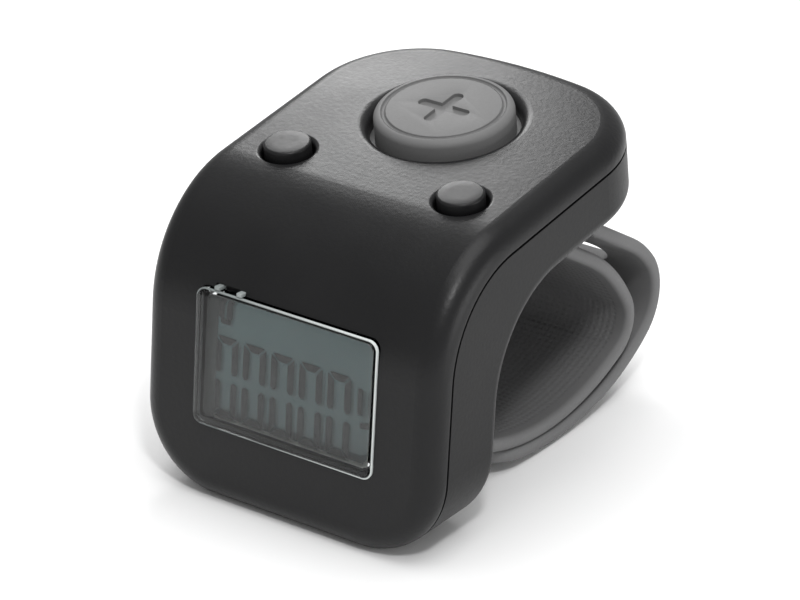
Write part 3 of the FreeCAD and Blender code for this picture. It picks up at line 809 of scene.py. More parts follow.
@dataclass(frozen=True)
class PaintedLightGradient:
    """Finish painted with light and shade: it turns smoothly from a deep (shaded) to a pale (lit) colour,
    such as the display's teal film.
    """

    name: str
    pale: tuple[float, float, float]
    deep: tuple[float, float, float]
    middle: tuple[float, float, float]
    reach: float = 9.0
    lean: tuple[float, float, float] = (-0.25, 0.0, 0.95)
    roughness: float = 0.3
    coat: float = 0.2
    mottle_scale: float = 260.0
    mottle_share: float = 0.3
    grain_scale: float = 9000.0
    grain_roughness: float = 0.2
    grain_depth: float = 0.001

    def build(self) -> bpy.types.Material:
        """Makes the material.

        Returns:
            The finished material.
        """
        material, net, shader = material_start(self.name)
        shader.inputs["Coat Weight"].default_value = self.coat
        where = net.add("ShaderNodeTexCoord").outputs["Object"]
        offset = net.vector("SUBTRACT", where, tuple(v * MM for v in self.middle)).outputs[0]
        lean = net.vector("DOT_PRODUCT", offset, self.lean).outputs["Value"]
        share = net.maths("ADD", net.maths("DIVIDE", lean, 2.0 * self.reach * MM), 0.5, clamp=True)
        patch = net.maths("SUBTRACT", net.noise(where, self.mottle_scale, 3.0), NOISE_MIDDLE)
        share = net.maths("ADD", share, net.maths("MULTIPLY", patch, self.mottle_share), clamp=True)
        mix = net.add("ShaderNodeMix", data_type="RGBA")
        net.feed(mix.inputs["Factor"], share)
        mix.inputs[6].default_value = (*self.deep, 1.0)
        mix.inputs[7].default_value = (*self.pale, 1.0)
        net.feed(shader.inputs["Base Color"], mix.outputs[2])
        grain = net.noise(where, self.grain_scale, 2.0)
        net.feed(shader.inputs["Roughness"], net.varied(grain, self.grain_roughness, self.roughness))
        net.feed(shader.inputs["Normal"], net.bump(grain, self.grain_depth))
        return material


@dataclass(frozen=True)
class SeeThroughInk:
    """Display segment, and the painted shadow of the segments: a dark film that lets the layer below show
    through.
    """

    name: str
    colour: tuple[float, float, float]
    cover: float
    patch_scale: float = 420.0
    colour_swing: float = 0.5
    cover_swing: float = 0.25
    roughness: float = 0.35
    roughness_swing: float = 0.2

    def build(self) -> bpy.types.Material:
        """Makes the material.

        Returns:
            The finished material.
        """
        material, net, shader = material_start(self.name)
        where = net.add("ShaderNodeTexCoord").outputs["Object"]
        patch = net.noise(where, self.patch_scale, 3.0)
        strength = net.varied(patch, self.colour_swing, 1.0 - self.colour_swing / 2)
        cover = net.varied(patch, self.cover_swing, self.cover - self.cover_swing / 2)
        net.feed(shader.inputs["Base Color"], net.scaled(self.colour, strength))
        net.feed(shader.inputs["Alpha"], cover)
        net.feed(shader.inputs["Roughness"], net.varied(patch, self.roughness_swing, self.roughness))
        return material


WINDOW_DOWN = 2.9      # middle of the window, down the front from the bend
PANEL_DEPTH = 1.7      # depth of the display film below the front's surface


class Finishes:
    """Every finish of the counter, by the record's name."""

    def __init__(self) -> None:
        """Builds the materials."""
        plain = [
            Moulded("cover_black", (0.010, 0.010, 0.0106), 0.35, grain_depth=0.016, grain_scale=2600.0,
                    specular=0.24),
            Moulded("shell_charcoal", (0.007, 0.007, 0.0074), 0.42, grain_depth=0.008, specular=0.20,
                    dimple_pitch=DIMPLE_PITCH, dimple_depth=0.12),
            Moulded("holder_white", (0.62, 0.62, 0.58), 0.55),
            Moulded("light_guide", (0.70, 0.80, 0.80), 0.30, coat=0.3),
            Moulded("lamp", (0.80, 0.74, 0.45), 0.25, coat=0.4),
            Moulded("connector_rubber", (0.06, 0.06, 0.07), 0.70, grain_scale=5200.0, grain_depth=0.01),
            Moulded("board_green", (0.02, 0.12, 0.05), 0.38, tone=0.25, coat=0.25),
            Moulded("resin_black", (0.012, 0.012, 0.012), 0.28, tone_scale=500.0, coat=0.3),
            Moulded("ribbon_film", (0.50, 0.24, 0.05), 0.30, grain_scale=1400.0, coat=0.3),
            Moulded("cell_steel", (0.62, 0.62, 0.63), 0.26, metallic=1.0, spread=0.3, grain_scale=1800.0),
            Moulded("contact_plate", (0.72, 0.56, 0.27), 0.30, metallic=1.0, spread=0.25),
            Moulded("screw_steel", (0.42, 0.42, 0.44), 0.34, metallic=1.0, spread=0.4, grain_scale=2200.0),
            Moulded("strap_silicone", (0.135, 0.135, 0.136), 0.60, tone=0.06, spread=0.2,
                    grain_scale=4200.0, grain_depth=0.008, specular=0.3),
            Moulded("button_silicone", (0.150, 0.150, 0.150), 0.60, tone=0.05, spread=0.15,
                    grain_scale=4600.0, grain_depth=0.006, specular=0.3),
            Moulded("button_gloss", (0.010, 0.010, 0.0105), 0.36, spread=0.15, grain_scale=2400.0,
                    grain_depth=0.004, specular=0.24),
            # painted shade: colour of the dark strip laid where the window's wall shades the panel's left end
            Moulded("display_mask", (0.012, 0.016, 0.017), 0.50, grain_scale=5200.0),
            Moulded("switch_body", (0.03, 0.03, 0.03), 0.50),
            Moulded("switch_plunger", (0.45, 0.06, 0.03), 0.40),
        ]
        self.by_name = {finish.name: finish.build() for finish in plain}
        self.by_name["clear_lens"] = ClearPlastic("clear_lens").build()
        centre = tuple(CASE.front(WINDOW_DOWN, PANEL_DEPTH).translation)
        # the display film's teal colour with painted light and shade: paler towards the top and left, darker
        # towards the bottom and right
        film = PaintedLightGradient("display_glass", (0.040, 0.100, 0.104), (0.016, 0.034, 0.037), centre)
        self.by_name["display_glass"] = film.build()
        # painted highlight: the pale strip round the lens bevel, paler to the right and top
        self.edge = PaintedLightGradient("window_edge", (0.72, 0.76, 0.75), (0.10, 0.12, 0.12), centre, reach=8.0,
                           lean=(1.0, 0.0, 0.35), roughness=0.15).build()
        self.segment = SeeThroughInk("display_segment", (0.010, 0.010, 0.012), 0.74).build()
        # painted shadow of the digits: a faint dark film, set under the digits and shifted right and down
        self.shadow = SeeThroughInk("display_shadow", (0.020, 0.026, 0.030), 0.14).build()

    def get(self, name: str) -> bpy.types.Material:
        """Finish with a record name."""
        return self.by_name[name]


# ---------------------------------------------------------------- buttons


@dataclass
class CountButton:
    """Soft round count button with a ring groove and a plus sign pressed into its top."""

    finishes: Finishes
    radius: float = 5.5
    proud: float = 1.05
    crown: float = 0.6
    flange_radius: float = 6.4
    flange_top: float = -1.35
    flange_low: float = -1.85
    post_radius: float = 1.65
    post_low: float = -2.2
    ring_radius: float = 4.7
    ring_half: float = 0.18
    ring_depth: float = 0.16
    ring_lip: float = 0.07
    ring_side: float = 0.02
    mark_length: float = 4.6
    mark_width: float = 0.95
    mark_depth: float = 0.3
    mark_round: float = 0.46
    cutter_height: float = 2.0
    along: float = 11.2

    def ring_profile(self) -> list[tuple[float, float]]:
        """Profile of the U-shaped ring groove, from inside out.

        Returns:
            Points of (radius, height).
        """
        lip, belly = self.ring_lip, self.ring_half - self.ring_side
        inner, outer = self.ring_radius - self.ring_half, self.ring_radius + self.ring_half
        floor = self.proud - self.ring_depth
        points = turn_of((inner - lip, self.proud - lip), lip, 90.0, 10.0, 4)
        points += turn_of((self.ring_radius, floor + belly), belly, 180.0, 360.0, 10)
        points += turn_of((outer + lip, self.proud - lip), lip, 170.0, 90.0, 4)
        return points

    def profile(self) -> list[tuple[float, float]]:
        """Whole profile, from the top middle to the post's middle.

        Returns:
            Points of (radius, height).
        """
        rings = [(0.0, self.proud)]
        rings += self.ring_profile()
        rings += turn_of((self.radius - self.crown, self.proud - self.crown), self.crown, 90.0, 0.0, 9)
        rings += [(self.radius, 0.0), (self.radius, self.flange_top),
                  (self.flange_radius, self.flange_top), (self.flange_radius, self.flange_low),
                  (self.post_radius, self.flange_low), (self.post_radius, self.post_low),
                  (0.0, self.post_low)]
        return rings

    def mark(self) -> bpy.types.Object:
        """Plus-shaped cutter for the top.

        Returns:
            The cutter.
        """
        low, tall = self.proud - self.mark_depth, self.cutter_height
        width, reach = self.mark_width, (self.mark_length - self.mark_width) / 2
        piece = block("plus_cutter", (width, width, tall), (0.0, 0.0, low + tall / 2))
        open_mesh(piece, Select.FACES)
        for way in ((1.0, 0.0), (-1.0, 0.0), (0.0, 1.0), (0.0, -1.0)):
            side = Vector((*way, 0.0))
            pick(piece, Select.FACES, lambda c, f, side=side: f.normal.dot(side) > FACING
                 and abs(c.dot(side) - width / 2) < NEAR and (c - side * width / 2).xy.length < NEAR)
            bpy.ops.mesh.extrude_region_move(TRANSFORM_OT_translate={"value": side * reach})
        pick(piece, Select.EDGES, lambda c, e: c.xy.length > reach and stands_up(e))
        bpy.ops.mesh.bevel(offset=width * self.mark_round, segments=6, affect="EDGES", clamp_overlap=False)
        close_mesh()
        return piece

    def build(self) -> bpy.types.Object:
        """Turns the button, presses the plus sign in and sets it in its hole.

        Returns:
            The finished piece.
        """
        piece = spun("count_button_cap", self.profile(), 112)
        open_mesh(piece, Select.FACES)
        pick(piece, Select.FACES, lambda c, f: f.normal.z > LEVEL and c.z > self.proud - NEAR
             and c.xy.length < self.ring_radius)
        bpy.ops.mesh.dissolve_faces()
        close_mesh()
        combine(piece, self.mark(), Blend.CUT)
        soften(piece, 0.09, 3, 50.0)
        seat(piece, CASE.top(self.along))
        return finish_piece(piece, self.finishes.get("button_silicone"), Body.COUNT,
                            ["count_button"], 40.0)


@dataclass
class SmallButton:
    """Small hard button with a softly rounded top edge."""

    finishes: Finishes
    name: str
    node: str
    body: Body
    across: float
    along: float = 1.8
    radius: float = 1.85
    proud: float = 0.66
    rounding: float = 0.2
    flange_radius: float = 2.6
    flange_top: float = -1.35
    flange_low: float = -1.85
    post_radius: float = 1.038
    post_low: float = -2.2

    def build(self) -> bpy.types.Object:
        """Turns the button and sets it in its hole.

        Returns:
            The finished piece.
        """
        rise = self.proud
        profile = [(0.0, rise), (self.radius * 0.5, rise),
                   *turn_of((self.radius - self.rounding, rise - self.rounding), self.rounding, 90.0, 0.0, 5),
                   (self.radius, self.flange_top),
                   (self.flange_radius, self.flange_top), (self.flange_radius, self.flange_low),
                   (self.post_radius, self.flange_low), (self.post_radius, self.post_low),
                   (0.0, self.post_low)]
        piece = spun(self.name, profile, 64)
        seat(piece, CASE.top(self.along, 0.0, self.across))
        return finish_piece(piece, self.finishes.get("button_gloss"), self.body,
                            [self.node], 40.0)


# ---------------------------------------------------------------- window and display


@dataclass(frozen=True)
class Sign:
    """Small mark of the display: its place and its size."""

    across: float
    rise: float
    width: float
    height: float


@dataclass
class Display:
    """Clear lens over a liquid crystal panel with five digits."""

    finishes: Finishes
    down: float = WINDOW_DOWN
    lens_width: float = 16.88
    lens_height: float = 11.18
    lens_corner: float = 0.84
    lens_low: float = -0.85
    lens_proud: float = 0.5
    lens_bevel: float = 0.34
    edge_width: float = 0.13
    edge_deep: float = 0.25
    # size and place of the painted shade strip on the panel's left end
    shade_strip_width: float = 1.15
    shade_strip_margin: float = 0.1
    shade_strip_thickness: float = 0.06
    shade_strip_lift: float = 0.05
    tab_places: tuple[float, ...] = (-6.55, -4.46)
    tab_size: tuple[float, float, float] = (0.5, 0.34, 0.9)
    tab_above: float = 0.2
    tab_level: float = -0.3
    panel_width: float = 16.7
    panel_height: float = 11.0
    panel_top: float = -1.713
    panel_low: float = -3.313
    contact_ledge: float = 1.0
    digit_count: int = 5
    digit_pitch: float = 2.6
    digit_width: float = 2.1
    digit_height: float = 6.5
    first_digit: float = -6.25
    digit_rise: float = -1.85
    stroke: float = 0.56
    joint: float = 0.15
    middle_gap: float = 0.3
    bar_tip: float = 0.4
    film: float = 0.02
    digit_lift: float = 0.06
    # the digits' painted shadow lies lower and is shifted right and down
    shadow_lift: float = 0.02
    shadow_shift: tuple[float, float] = (0.24, -0.10)
    end_signs: tuple[Sign, ...] = (Sign(1.9, 1.6, 0.42, 2.1), Sign(2.35, -0.2, 0.75, 0.45))
    corner_signs: tuple[Sign, ...] = (Sign(-6.9, 3.55, 0.5, 1.5), Sign(-6.15, 3.55, 0.5, 1.5),
                                      Sign(-6.5, 2.6, 0.9, 0.4))

    def set_in(self, piece: bpy.types.Object, material: bpy.types.Material,
               stands_for: Sequence[str] = (), smooth_angle: float = 25.0) -> bpy.types.Object:
        """Sets a piece into the front and dresses it.

        Args:
            piece: Piece drawn about the window's middle.
            material: Its finish.
            stands_for: Solids that it replaces.
            smooth_angle: Edges sharper than this stay crisp, in degrees.

        Returns:
            The finished piece.
        """
        seat(piece, CASE.front(self.down))
        return finish_piece(piece, material, Body.CASE, stands_for, smooth_angle)

    def build_lens(self) -> bpy.types.Object:
        """Makes the lens block with round corners and a bevelled rim.

        Returns:
            The finished piece.
        """
        deep = self.lens_proud - self.lens_low
        inset = 2 * self.edge_width
        piece = block("display_window", (self.lens_width - inset, self.lens_height - inset, deep),
                      (0.0, 0.0, (self.lens_proud + self.lens_low) / 2))
        round_uprights(piece, self.lens_corner - self.edge_width, 10)
        open_mesh(piece, Select.EDGES)
        pick(piece, Select.EDGES, lambda c, e: min(v.co.z for v in e.verts) > self.lens_proud - NEAR)
        bpy.ops.mesh.bevel(offset=self.lens_bevel, segments=2, profile=0.55, affect="EDGES",
                           clamp_overlap=False)
        close_mesh()
        soften(piece, 0.05, 2, 25.0)
        return self.set_in(piece, self.finishes.get("clear_lens"), ["display_lens"], 20.0)

    def build_edge(self) -> bpy.types.Object:
        """Makes the pale strip that runs round the lens: a painted highlight of its polished edge, brightest
        at the right and top.

        Returns:
            The finished piece.
        """
        deep = self.edge_deep
        middle = (0.0, 0.0, self.lens_proud - self.lens_bevel - deep / 2)
        piece = block("window_edge", (self.lens_width, self.lens_height, deep), middle)
        round_uprights(piece, self.lens_corner, 10)
        inset = 2 * self.edge_width
        hole = block("edge_hole", (self.lens_width - inset, self.lens_height - inset, 3 * deep), middle)
        round_uprights(hole, self.lens_corner - self.edge_width, 10)
        combine(piece, hole, Blend.CUT)
        soften(piece, 0.04, 2, 50.0)
        return self.set_in(piece, self.finishes.edge)

    def build_tabs(self) -> bpy.types.Object:
        """Makes the two little moulding tabs in the notch above the lens.

        Returns:
            The finished piece.
        """
        tabs = []
        for place in self.tab_places:
            middle = (place, self.lens_height / 2 + self.tab_above, self.tab_level)
            tab = block("window_tabs", self.tab_size, middle)
            soften(tab, 0.09, 3, 60.0)
            tabs.append(tab)
        # the tabs are coloured with the lens edge's painted highlight finish
        return self.set_in(joined(tabs), self.finishes.edge)

    def build_left_shade(self) -> bpy.types.Object:
        """Makes the dark strip of painted shade over the left end of the panel, where the window's wall
        shades it.

        Returns:
            The finished piece.
        """
        size = (self.shade_strip_width, self.panel_height - 2 * self.shade_strip_margin, self.shade_strip_thickness)
        left = (self.shade_strip_width - self.panel_width) / 2
        piece = block("display_mask", size, (left, 0.0, self.panel_top + self.shade_strip_lift))
        soften(piece, 0.015, 2, 60.0)
        return self.set_in(piece, self.finishes.get("display_mask"))

    def build_panel(self) -> bpy.types.Object:
        """Makes the display cell: two glass plates, the rear one with a contact ledge.

        Returns:
            The finished piece.
        """
        middle = (self.panel_top + self.panel_low) / 2
        piece = block("display_panel", (self.panel_width, self.panel_height, middle - self.panel_low),
                      (0.0, 0.0, (middle + self.panel_low) / 2))
        open_mesh(piece, Select.EDGES)
        cut = self.contact_ledge - self.panel_height / 2
        bpy.ops.mesh.select_all(action="SELECT")
        bpy.ops.mesh.bisect(plane_co=(0.0, cut, 0.0), plane_no=(0.0, 1.0, 0.0))
        pick(piece, Select.FACES, lambda c, f: f.normal.z > FACING and c.y > cut)
        rise = Vector((0.0, 0.0, self.panel_top - middle))
        bpy.ops.mesh.extrude_region_move(TRANSFORM_OT_translate={"value": rise})
        close_mesh()
        soften(piece, 0.08, 2, 60.0)
        return self.set_in(piece, self.finishes.get("display_glass"),
                           ["display_glass"], 20.0)

    def upright(self, name: str, x: float, low: float, high: float, mitre: float) -> bpy.types.Object:
        """One upright segment: mitred at its outer end and pointed at its inner end.

        Args:
            name: Name of the segment.
            x: Middle of the segment.
            low: Height of its lower end.
            high: Height of its upper end.
            mitre: Side that the mitre cuts back, -1 left or 1 right.

        Returns:
            The segment, a little plate at the origin's level.
        """
        piece = block(name, (self.stroke, high - low, self.film), (x, (low + high) / 2, 0.0))
        open_mesh(piece)
        outer = high if abs(high) > abs(low) else low
        inner = low if outer == high else high
        inward = -math.copysign(1.0, outer)
        pick(piece, Select.VERTS, lambda c, v: abs(c.y - outer) < NEAR and (c.x - x) * mitre > 0)
        bpy.ops.transform.translate(value=(0.0, inward * self.stroke, 0.0))
        pick(piece, Select.FACES, lambda c, f: abs(c.y - inner) < NEAR)
        point = Vector((0.0, inward * self.stroke * self.bar_tip, 0.0))
        bpy.ops.mesh.extrude_region_move(TRANSFORM_OT_translate={"value": point})
        bpy.ops.transform.resize(value=(0.25, 1.0, 1.0))
        close_mesh()
        return piece

    def level(self, name: str, y: float, inward: float) -> bpy.types.Object:
        """One level segment, mitred at both ends.

        Args:
            name: Name of the segment.
            y: Height of its outer side.
            inward: Direction of its inner side, -1 down or 1 up.

        Returns:
            The segment.
        """
        width = self.digit_width - 2 * self.joint
        piece = block(name, (width, self.stroke, self.film), (0.0, y + inward * self.stroke / 2, 0.0))
        open_mesh(piece)
        pick(piece, Select.VERTS, lambda c, v: (c.y - y) * inward > self.stroke / 2)
        bpy.ops.transform.resize(value=((width - 2 * self.stroke) / width, 1.0, 1.0))
        close_mesh()
        return piece

    def digit(self) -> bpy.types.Object:
        """One figure nought of six segments, about the origin.

        Returns:
            The digit.
        """
        side = (self.digit_width - self.stroke) / 2
        top = self.digit_height / 2
        tip = self.stroke * self.bar_tip + self.middle_gap
        parts = [self.level("digit", top, -1.0), self.level("low_bar", -top, 1.0)]
        for mark in (-1.0, 1.0):
            parts.append(self.upright("upper_bar", side * mark, tip, top - self.joint, -mark))
            parts.append(self.upright("lower_bar", side * mark, -top + self.joint, -tip, -mark))
        return joined(parts)

    def signs(self) -> list[Sign]:
        """Small marks round the digits, the end ones placed from the last digit.

        Returns:
            The marks, placed from the window's middle.
        """
        last = self.first_digit + (self.digit_count - 1) * self.digit_pitch
        placed = [Sign(last + sign.across, self.digit_rise + sign.rise, sign.width, sign.height)
                  for sign in self.end_signs]
        return placed + list(self.corner_signs)

    def layer(self, name: str, lift: float, shift: tuple[float, float],
              material: bpy.types.Material) -> bpy.types.Object:
        """All the display's marks as one film.

        Args:
            name: Name of the film.
            lift: Height above the panel.
            shift: Shift across and up.
            material: Its finish.

        Returns:
            The finished piece.
        """
        pattern = self.digit()
        marks = []
        for count in range(self.digit_count):
            one = twin(pattern, f"{name}_{count}")
            one.location = (self.first_digit + count * self.digit_pitch, self.digit_rise, 0.0)
            marks.append(one)
        bpy.data.objects.remove(pattern, do_unlink=True)
        for index, sign in enumerate(self.signs()):
            size = (sign.width, sign.height, self.film)
            mark = block(f"{name}_sign_{index}", size, (sign.across, sign.rise, 0.0))
            round_uprights(mark, min(sign.width, sign.height) * 0.3, 3)
            marks.append(mark)
        piece = joined(marks)
        take(piece)
        bpy.ops.object.transform_apply(location=True, rotation=True, scale=True)
        piece.location = (shift[0], shift[1], self.panel_top + lift)
        bpy.ops.object.transform_apply(location=True, rotation=True, scale=True)
        piece.name = name
        return self.set_in(piece, material, smooth_angle=35.0)

    def build(self) -> None:
        """Makes the lens, the panel, the digits and their painted shadows."""
        self.build_lens()
        self.build_edge()
        self.build_tabs()
        self.build_left_shade()
        self.build_panel()
        # painted shadow: a faint offset copy of every mark
        self.layer("display_shadows", self.shadow_lift, self.shadow_shift, self.finishes.shadow)
        self.layer("display_digits", self.digit_lift, (0.0, 0.0), self.finishes.segment)


# ---------------------------------------------------------------- strap


# Stands a band that lies along y on its start, its finger side to the rear.
STAND_UP = Matrix(((-1, 0, 0, 0), (0, 0, 1, 0), (0, 1, 0, 0), (0, 0, 0, 1)))


@dataclass(frozen=True)
class Route:
    """Centre line of a strap layer in the side plane: a run, arcs that turn towards the finger, a run."""

    start: tuple[float, float]
    heading: float
    lead: float
    arcs: tuple[tuple[float, float], ...]
    tail: float = 0.0
    longest_arc: float = 30.0

    @property
    def length(self) -> float:
        """Whole length of the line."""
        return self.lead + sum(radius * math.radians(turn) for radius, turn in self.arcs) + self.tail

    def nodes(self) -> list[tuple[Vector, float, float]]:
        """Ends of every stretch.

        Returns:
            Point in the case's own coordinates, heading and the radius of the stretch that follows.
        """
        y, z = self.start
        angle = math.radians(self.heading)
        found = [(Vector((0.0, y, z)), angle, 0.0)]
        y += self.lead * math.cos(angle)
        z += self.lead * math.sin(angle)
        for radius, degrees in self.arcs:
            parts = max(1, math.ceil(degrees / self.longest_arc))
            for _ in range(parts):
                turn = math.radians(degrees) / parts
                found.append((Vector((0.0, y, z)), angle, radius))
                y += radius * (math.sin(angle) - math.sin(angle - turn))
                z += radius * (math.cos(angle - turn) - math.cos(angle))
                angle -= turn
        found.append((Vector((0.0, y, z)), angle, 0.0))
        if self.tail > 0.0:
            y += self.tail * math.cos(angle)
            z += self.tail * math.sin(angle)
            found.append((Vector((0.0, y, z)), angle, 0.0))
        return found

    def station(self, along: float) -> tuple[Vector, float]:
        """Point and heading at a distance along the line.

        Args:
            along: Distance from the start, past the first run.

        Returns:
            The point in the case's own coordinates, and the heading.
        """
        y, z = self.start
        angle = math.radians(self.heading)
        y += self.lead * math.cos(angle)
        z += self.lead * math.sin(angle)
        left = along - self.lead
        for radius, degrees in self.arcs:
            turn = min(math.radians(degrees), left / radius)
            y += radius * (math.sin(angle) - math.sin(angle - turn))
            z += radius * (math.cos(angle - turn) - math.cos(angle))
            angle -= turn
            left -= turn * radius
            if left <= 0.0:
                break
        return Vector((0.0, y, z)), angle

    def guide(self, name: str) -> bpy.types.Object:
        """Curve that the flat strap is bent along.

        Args:
            name: Name of the curve.

        Returns:
            The curve object, in millimetres about the case's bend.
        """
        data = bpy.data.curves.new(name, "CURVE")
        data.dimensions = "3D"
        data.twist_mode = "MINIMUM"
        data.resolution_u = 24
        nodes = self.nodes()
        spline = data.splines.new("BEZIER")
        spline.bezier_points.add(len(nodes) - 1)
        for index, (point, angle, _) in enumerate(nodes):
            knot = spline.bezier_points[index]
            ahead = Vector((0.0, math.cos(angle), math.sin(angle)))
            knot.handle_left_type = knot.handle_right_type = "FREE"
            knot.co = point
            knot.handle_left = point - ahead * self.reach(nodes, index - 1)
            knot.handle_right = point + ahead * self.reach(nodes, index)
        guide = bpy.data.objects.new(name, data)
        bpy.context.scene.collection.objects.link(guide)
        return guide

    @staticmethod
    def reach(nodes: Sequence[tuple[Vector, float, float]], index: int) -> float:
        """Handle length for the stretch after a node.

        Args:
            nodes: Ends of the stretches.
            index: Which stretch.

        Returns:
            Length that makes the stretch a true arc or a straight run.
        """
        if index < 0 or index >= len(nodes) - 1:
            return 0.5
        (point, angle, radius), (after, next_angle, _) = nodes[index], nodes[index + 1]
        if radius == 0.0:
            return (after - point).length / 3.0
        return 4.0 / 3.0 * math.tan(abs(next_angle - angle) / 4.0) * radius


@dataclass
class StrapLayer:
    """Silicone band, shaped flat and then bent along its route."""

    finishes: Finishes
    name: str
    node: str
    route: Route
    half_width: float = 9.6
    thickness: float = 1.15
    edge_round: float = 0.46
    tail_corner: float = 0.0
    slots: tuple[float, ...] = ()
    slot_size: tuple[float, float] = (11.0, 3.0)
    cutter_height: float = 4.0
    dimple_pitch: float = 0.0
    dimple_margin: float = 1.1
    dimple_depth: float = 0.05
    cut_spacing: float = 0.55

    def flat(self) -> bpy.types.Object:
        """Flat band along y with round edges, slots and cross cuts ready for bending.

        Returns:
            The flat band.
        """
        length = self.route.length
        piece = block(self.name, (2 * self.half_width, length, self.thickness), (0.0, length / 2, 0.0))
        if self.tail_corner > 0.0:
            open_mesh(piece, Select.EDGES)
            pick(piece, Select.EDGES, lambda c, e: stands_up(e) and c.y > length - NEAR)
            bpy.ops.mesh.bevel(offset=self.tail_corner, segments=14, affect="EDGES", clamp_overlap=False)
            close_mesh()
        open_mesh(piece, Select.EDGES)
        pick(piece, Select.EDGES, lambda c, e: abs(abs(c.z) - self.thickness / 2) < NEAR)
        bpy.ops.mesh.bevel(offset=self.edge_round, segments=5, affect="EDGES", clamp_overlap=False)
        close_mesh()
        for place in self.slots:
            cutter = block("slot_cutter", (*self.slot_size, self.cutter_height), (0.0, place, 0.0))
            round_uprights(cutter, self.slot_size[1] * FULL_ROUND, 8)
            combine(piece, cutter, Blend.CUT)
        if self.slots:
            soften(piece, 0.22, 3, 60.0)
        self.cross_cuts(piece, length)
        if self.dimple_pitch > 0.0:
            self.press_dimples(piece)
        return piece

    def cross_cuts(self, piece: bpy.types.Object, length: float) -> None:
        """Cuts the flat band across, so that it bends evenly.

        Args:
            piece: Flat band.
            length: Its length.
        """
        step = self.dimple_pitch or self.cut_spacing
        open_mesh(piece, Select.FACES)
        for count in range(1, int(length / step)):
            bpy.ops.mesh.select_all(action="SELECT")
            bpy.ops.mesh.bisect(plane_co=(0.0, count * step, 0.0), plane_no=(0.0, 1.0, 0.0))
        if self.dimple_pitch > 0.0:
            half = int((self.half_width - self.edge_round) / step)
            for count in range(-half, half + 1):
                pick(piece, Select.FACES, lambda c, f: f.normal.z < -FACING)
                bpy.ops.mesh.bisect(plane_co=(count * step, 0.0, 0.0), plane_no=(1.0, 0.0, 0.0))
        close_mesh()

    def press_dimples(self, piece: bpy.types.Object) -> None:
        """Presses a fine grid of dimples into the finger side.

        Args:
            piece: Flat band with its grid of cuts.
        """
        pitch = self.dimple_pitch
        square = pitch * pitch
        open_mesh(piece, Select.FACES)
        edge = self.half_width - self.dimple_margin
        pick(piece, Select.FACES, lambda c, f: f.normal.z < -FACING and abs(c.x) < edge
             and 0.6 * square < f.calc_area() < 1.4 * square)
        bpy.ops.mesh.inset(thickness=pitch * 0.17, depth=0.0, use_individual=True)
        bpy.ops.mesh.inset(thickness=pitch * 0.12, depth=-self.dimple_depth, use_individual=True)
        close_mesh()

    def bend(self, piece: bpy.types.Object) -> None:
        """Bends the flat band along its route.

        Args:
            piece: Flat band along y.
        """
        guide = self.route.guide(self.name + "_guide")
        take(piece)
        piece.matrix_world = STAND_UP
        bpy.ops.object.transform_apply(location=True, rotation=True, scale=True)
        step = piece.modifiers.new("bent", "CURVE")
        step.object = guide
        step.deform_axis = "POS_Z"
        bpy.ops.object.modifier_apply(modifier=step.name)
        bpy.data.objects.remove(guide, do_unlink=True)

    def build(self) -> bpy.types.Object:
        """Makes the band, bends it and sets it in its place.

        Returns:
            The finished piece.
        """
        piece = self.flat()
        self.bend(piece)
        open_mesh(piece)
        bpy.ops.mesh.select_all(action="SELECT")
        bpy.ops.mesh.remove_doubles(threshold=MERGE_GAP)
        close_mesh()
        seat(piece, Matrix.Translation(Vector(CASE.bend_centre)))
        return finish_piece(piece, self.finishes.get("strap_silicone"), Body.CASE,
                            [self.node], 45.0)


@dataclass
class StrapFittings:
    """Soft fittings of the strap: the eye round the rear pin, the anchor bar and the stud in a slot."""

    finishes: Finishes
    outer: Route
    inner: Route
    half_width: float = 9.6
    thickness: float = 1.15
    eye_radius: float = 1.12
    eye_hole: float = 0.53
    bar_radius: float = 0.75
    bar_inset: float = 0.4
    end_round: float = 0.3
    stud_size: tuple[float, float] = (5.0, 2.2)
    stud_place: float = 28.2
    stud_through: float = 0.58

    def finish(self, piece: bpy.types.Object) -> bpy.types.Object:
        """Dresses one fitting."""
        silicone = self.finishes.get("strap_silicone")
        return finish_piece(piece, silicone, Body.CASE, [], 45.0)

    def rod_profile(self, core: float, radius: float, half: float) -> list[tuple[float, float]]:
        """Profile of a round rod or tube with soft ends, from its top to its bottom.

        Args:
            core: Radius where the profile starts and ends.
            radius: Outer radius.
            half: Half its length.

        Returns:
            Points of (radius, height).
        """
        soft = self.end_round
        return [(core, half), *turn_of((radius - soft, half - soft), soft, 90.0, 0.0, 5),
                *turn_of((radius - soft, soft - half), soft, 0.0, -90.0, 5), (core, -half)]

    def build_eye(self) -> bpy.types.Object:
        """Makes the eye, a soft tube round the pin.

        Returns:
            The finished piece.
        """
        profile = self.rod_profile(self.eye_hole, self.eye_radius, self.half_width)
        profile.append(profile[0])
        return self.finish(side_disc(spun("strap_eye", profile, 40), *self.outer.start))

    def build_bar(self) -> bpy.types.Object:
        """Makes the bar that holds the inner layer behind the slot in the shell.

        Returns:
            The finished piece.
        """
        profile = self.rod_profile(0.0, self.bar_radius, self.half_width - self.bar_inset)
        end = self.inner.nodes()[-1][0]
        return self.finish(side_disc(spun("strap_anchor_bar", profile, 32), end.y, end.z))

    def build_stud(self) -> bpy.types.Object:
        """Makes the stud of the inner layer that fills a slot of the outer one.

        Returns:
            The finished piece.
        """
        low, high = -self.thickness - self.stud_through, self.thickness / 2
        piece = block("strap_stud", (*self.stud_size, high - low), (0.0, 0.0, (high + low) / 2))
        round_uprights(piece, self.stud_size[1] * FULL_ROUND, 8)
        soften(piece, 0.14, 3, 50.0)
        point, heading = self.outer.station(self.stud_place)
        turn = Matrix.Rotation(heading + math.pi, 4, "X")
        base = Vector(CASE.bend_centre) + point + turn.to_3x3() @ Vector((0.0, 0.0, self.thickness))
        seat(piece, Matrix.Translation(base) @ turn)
        return self.finish(piece)

    def build(self) -> None:
        """Makes the three fittings."""
        self.build_eye()
        self.build_bar()
        self.build_stud()


# ---------------------------------------------------------------- screws


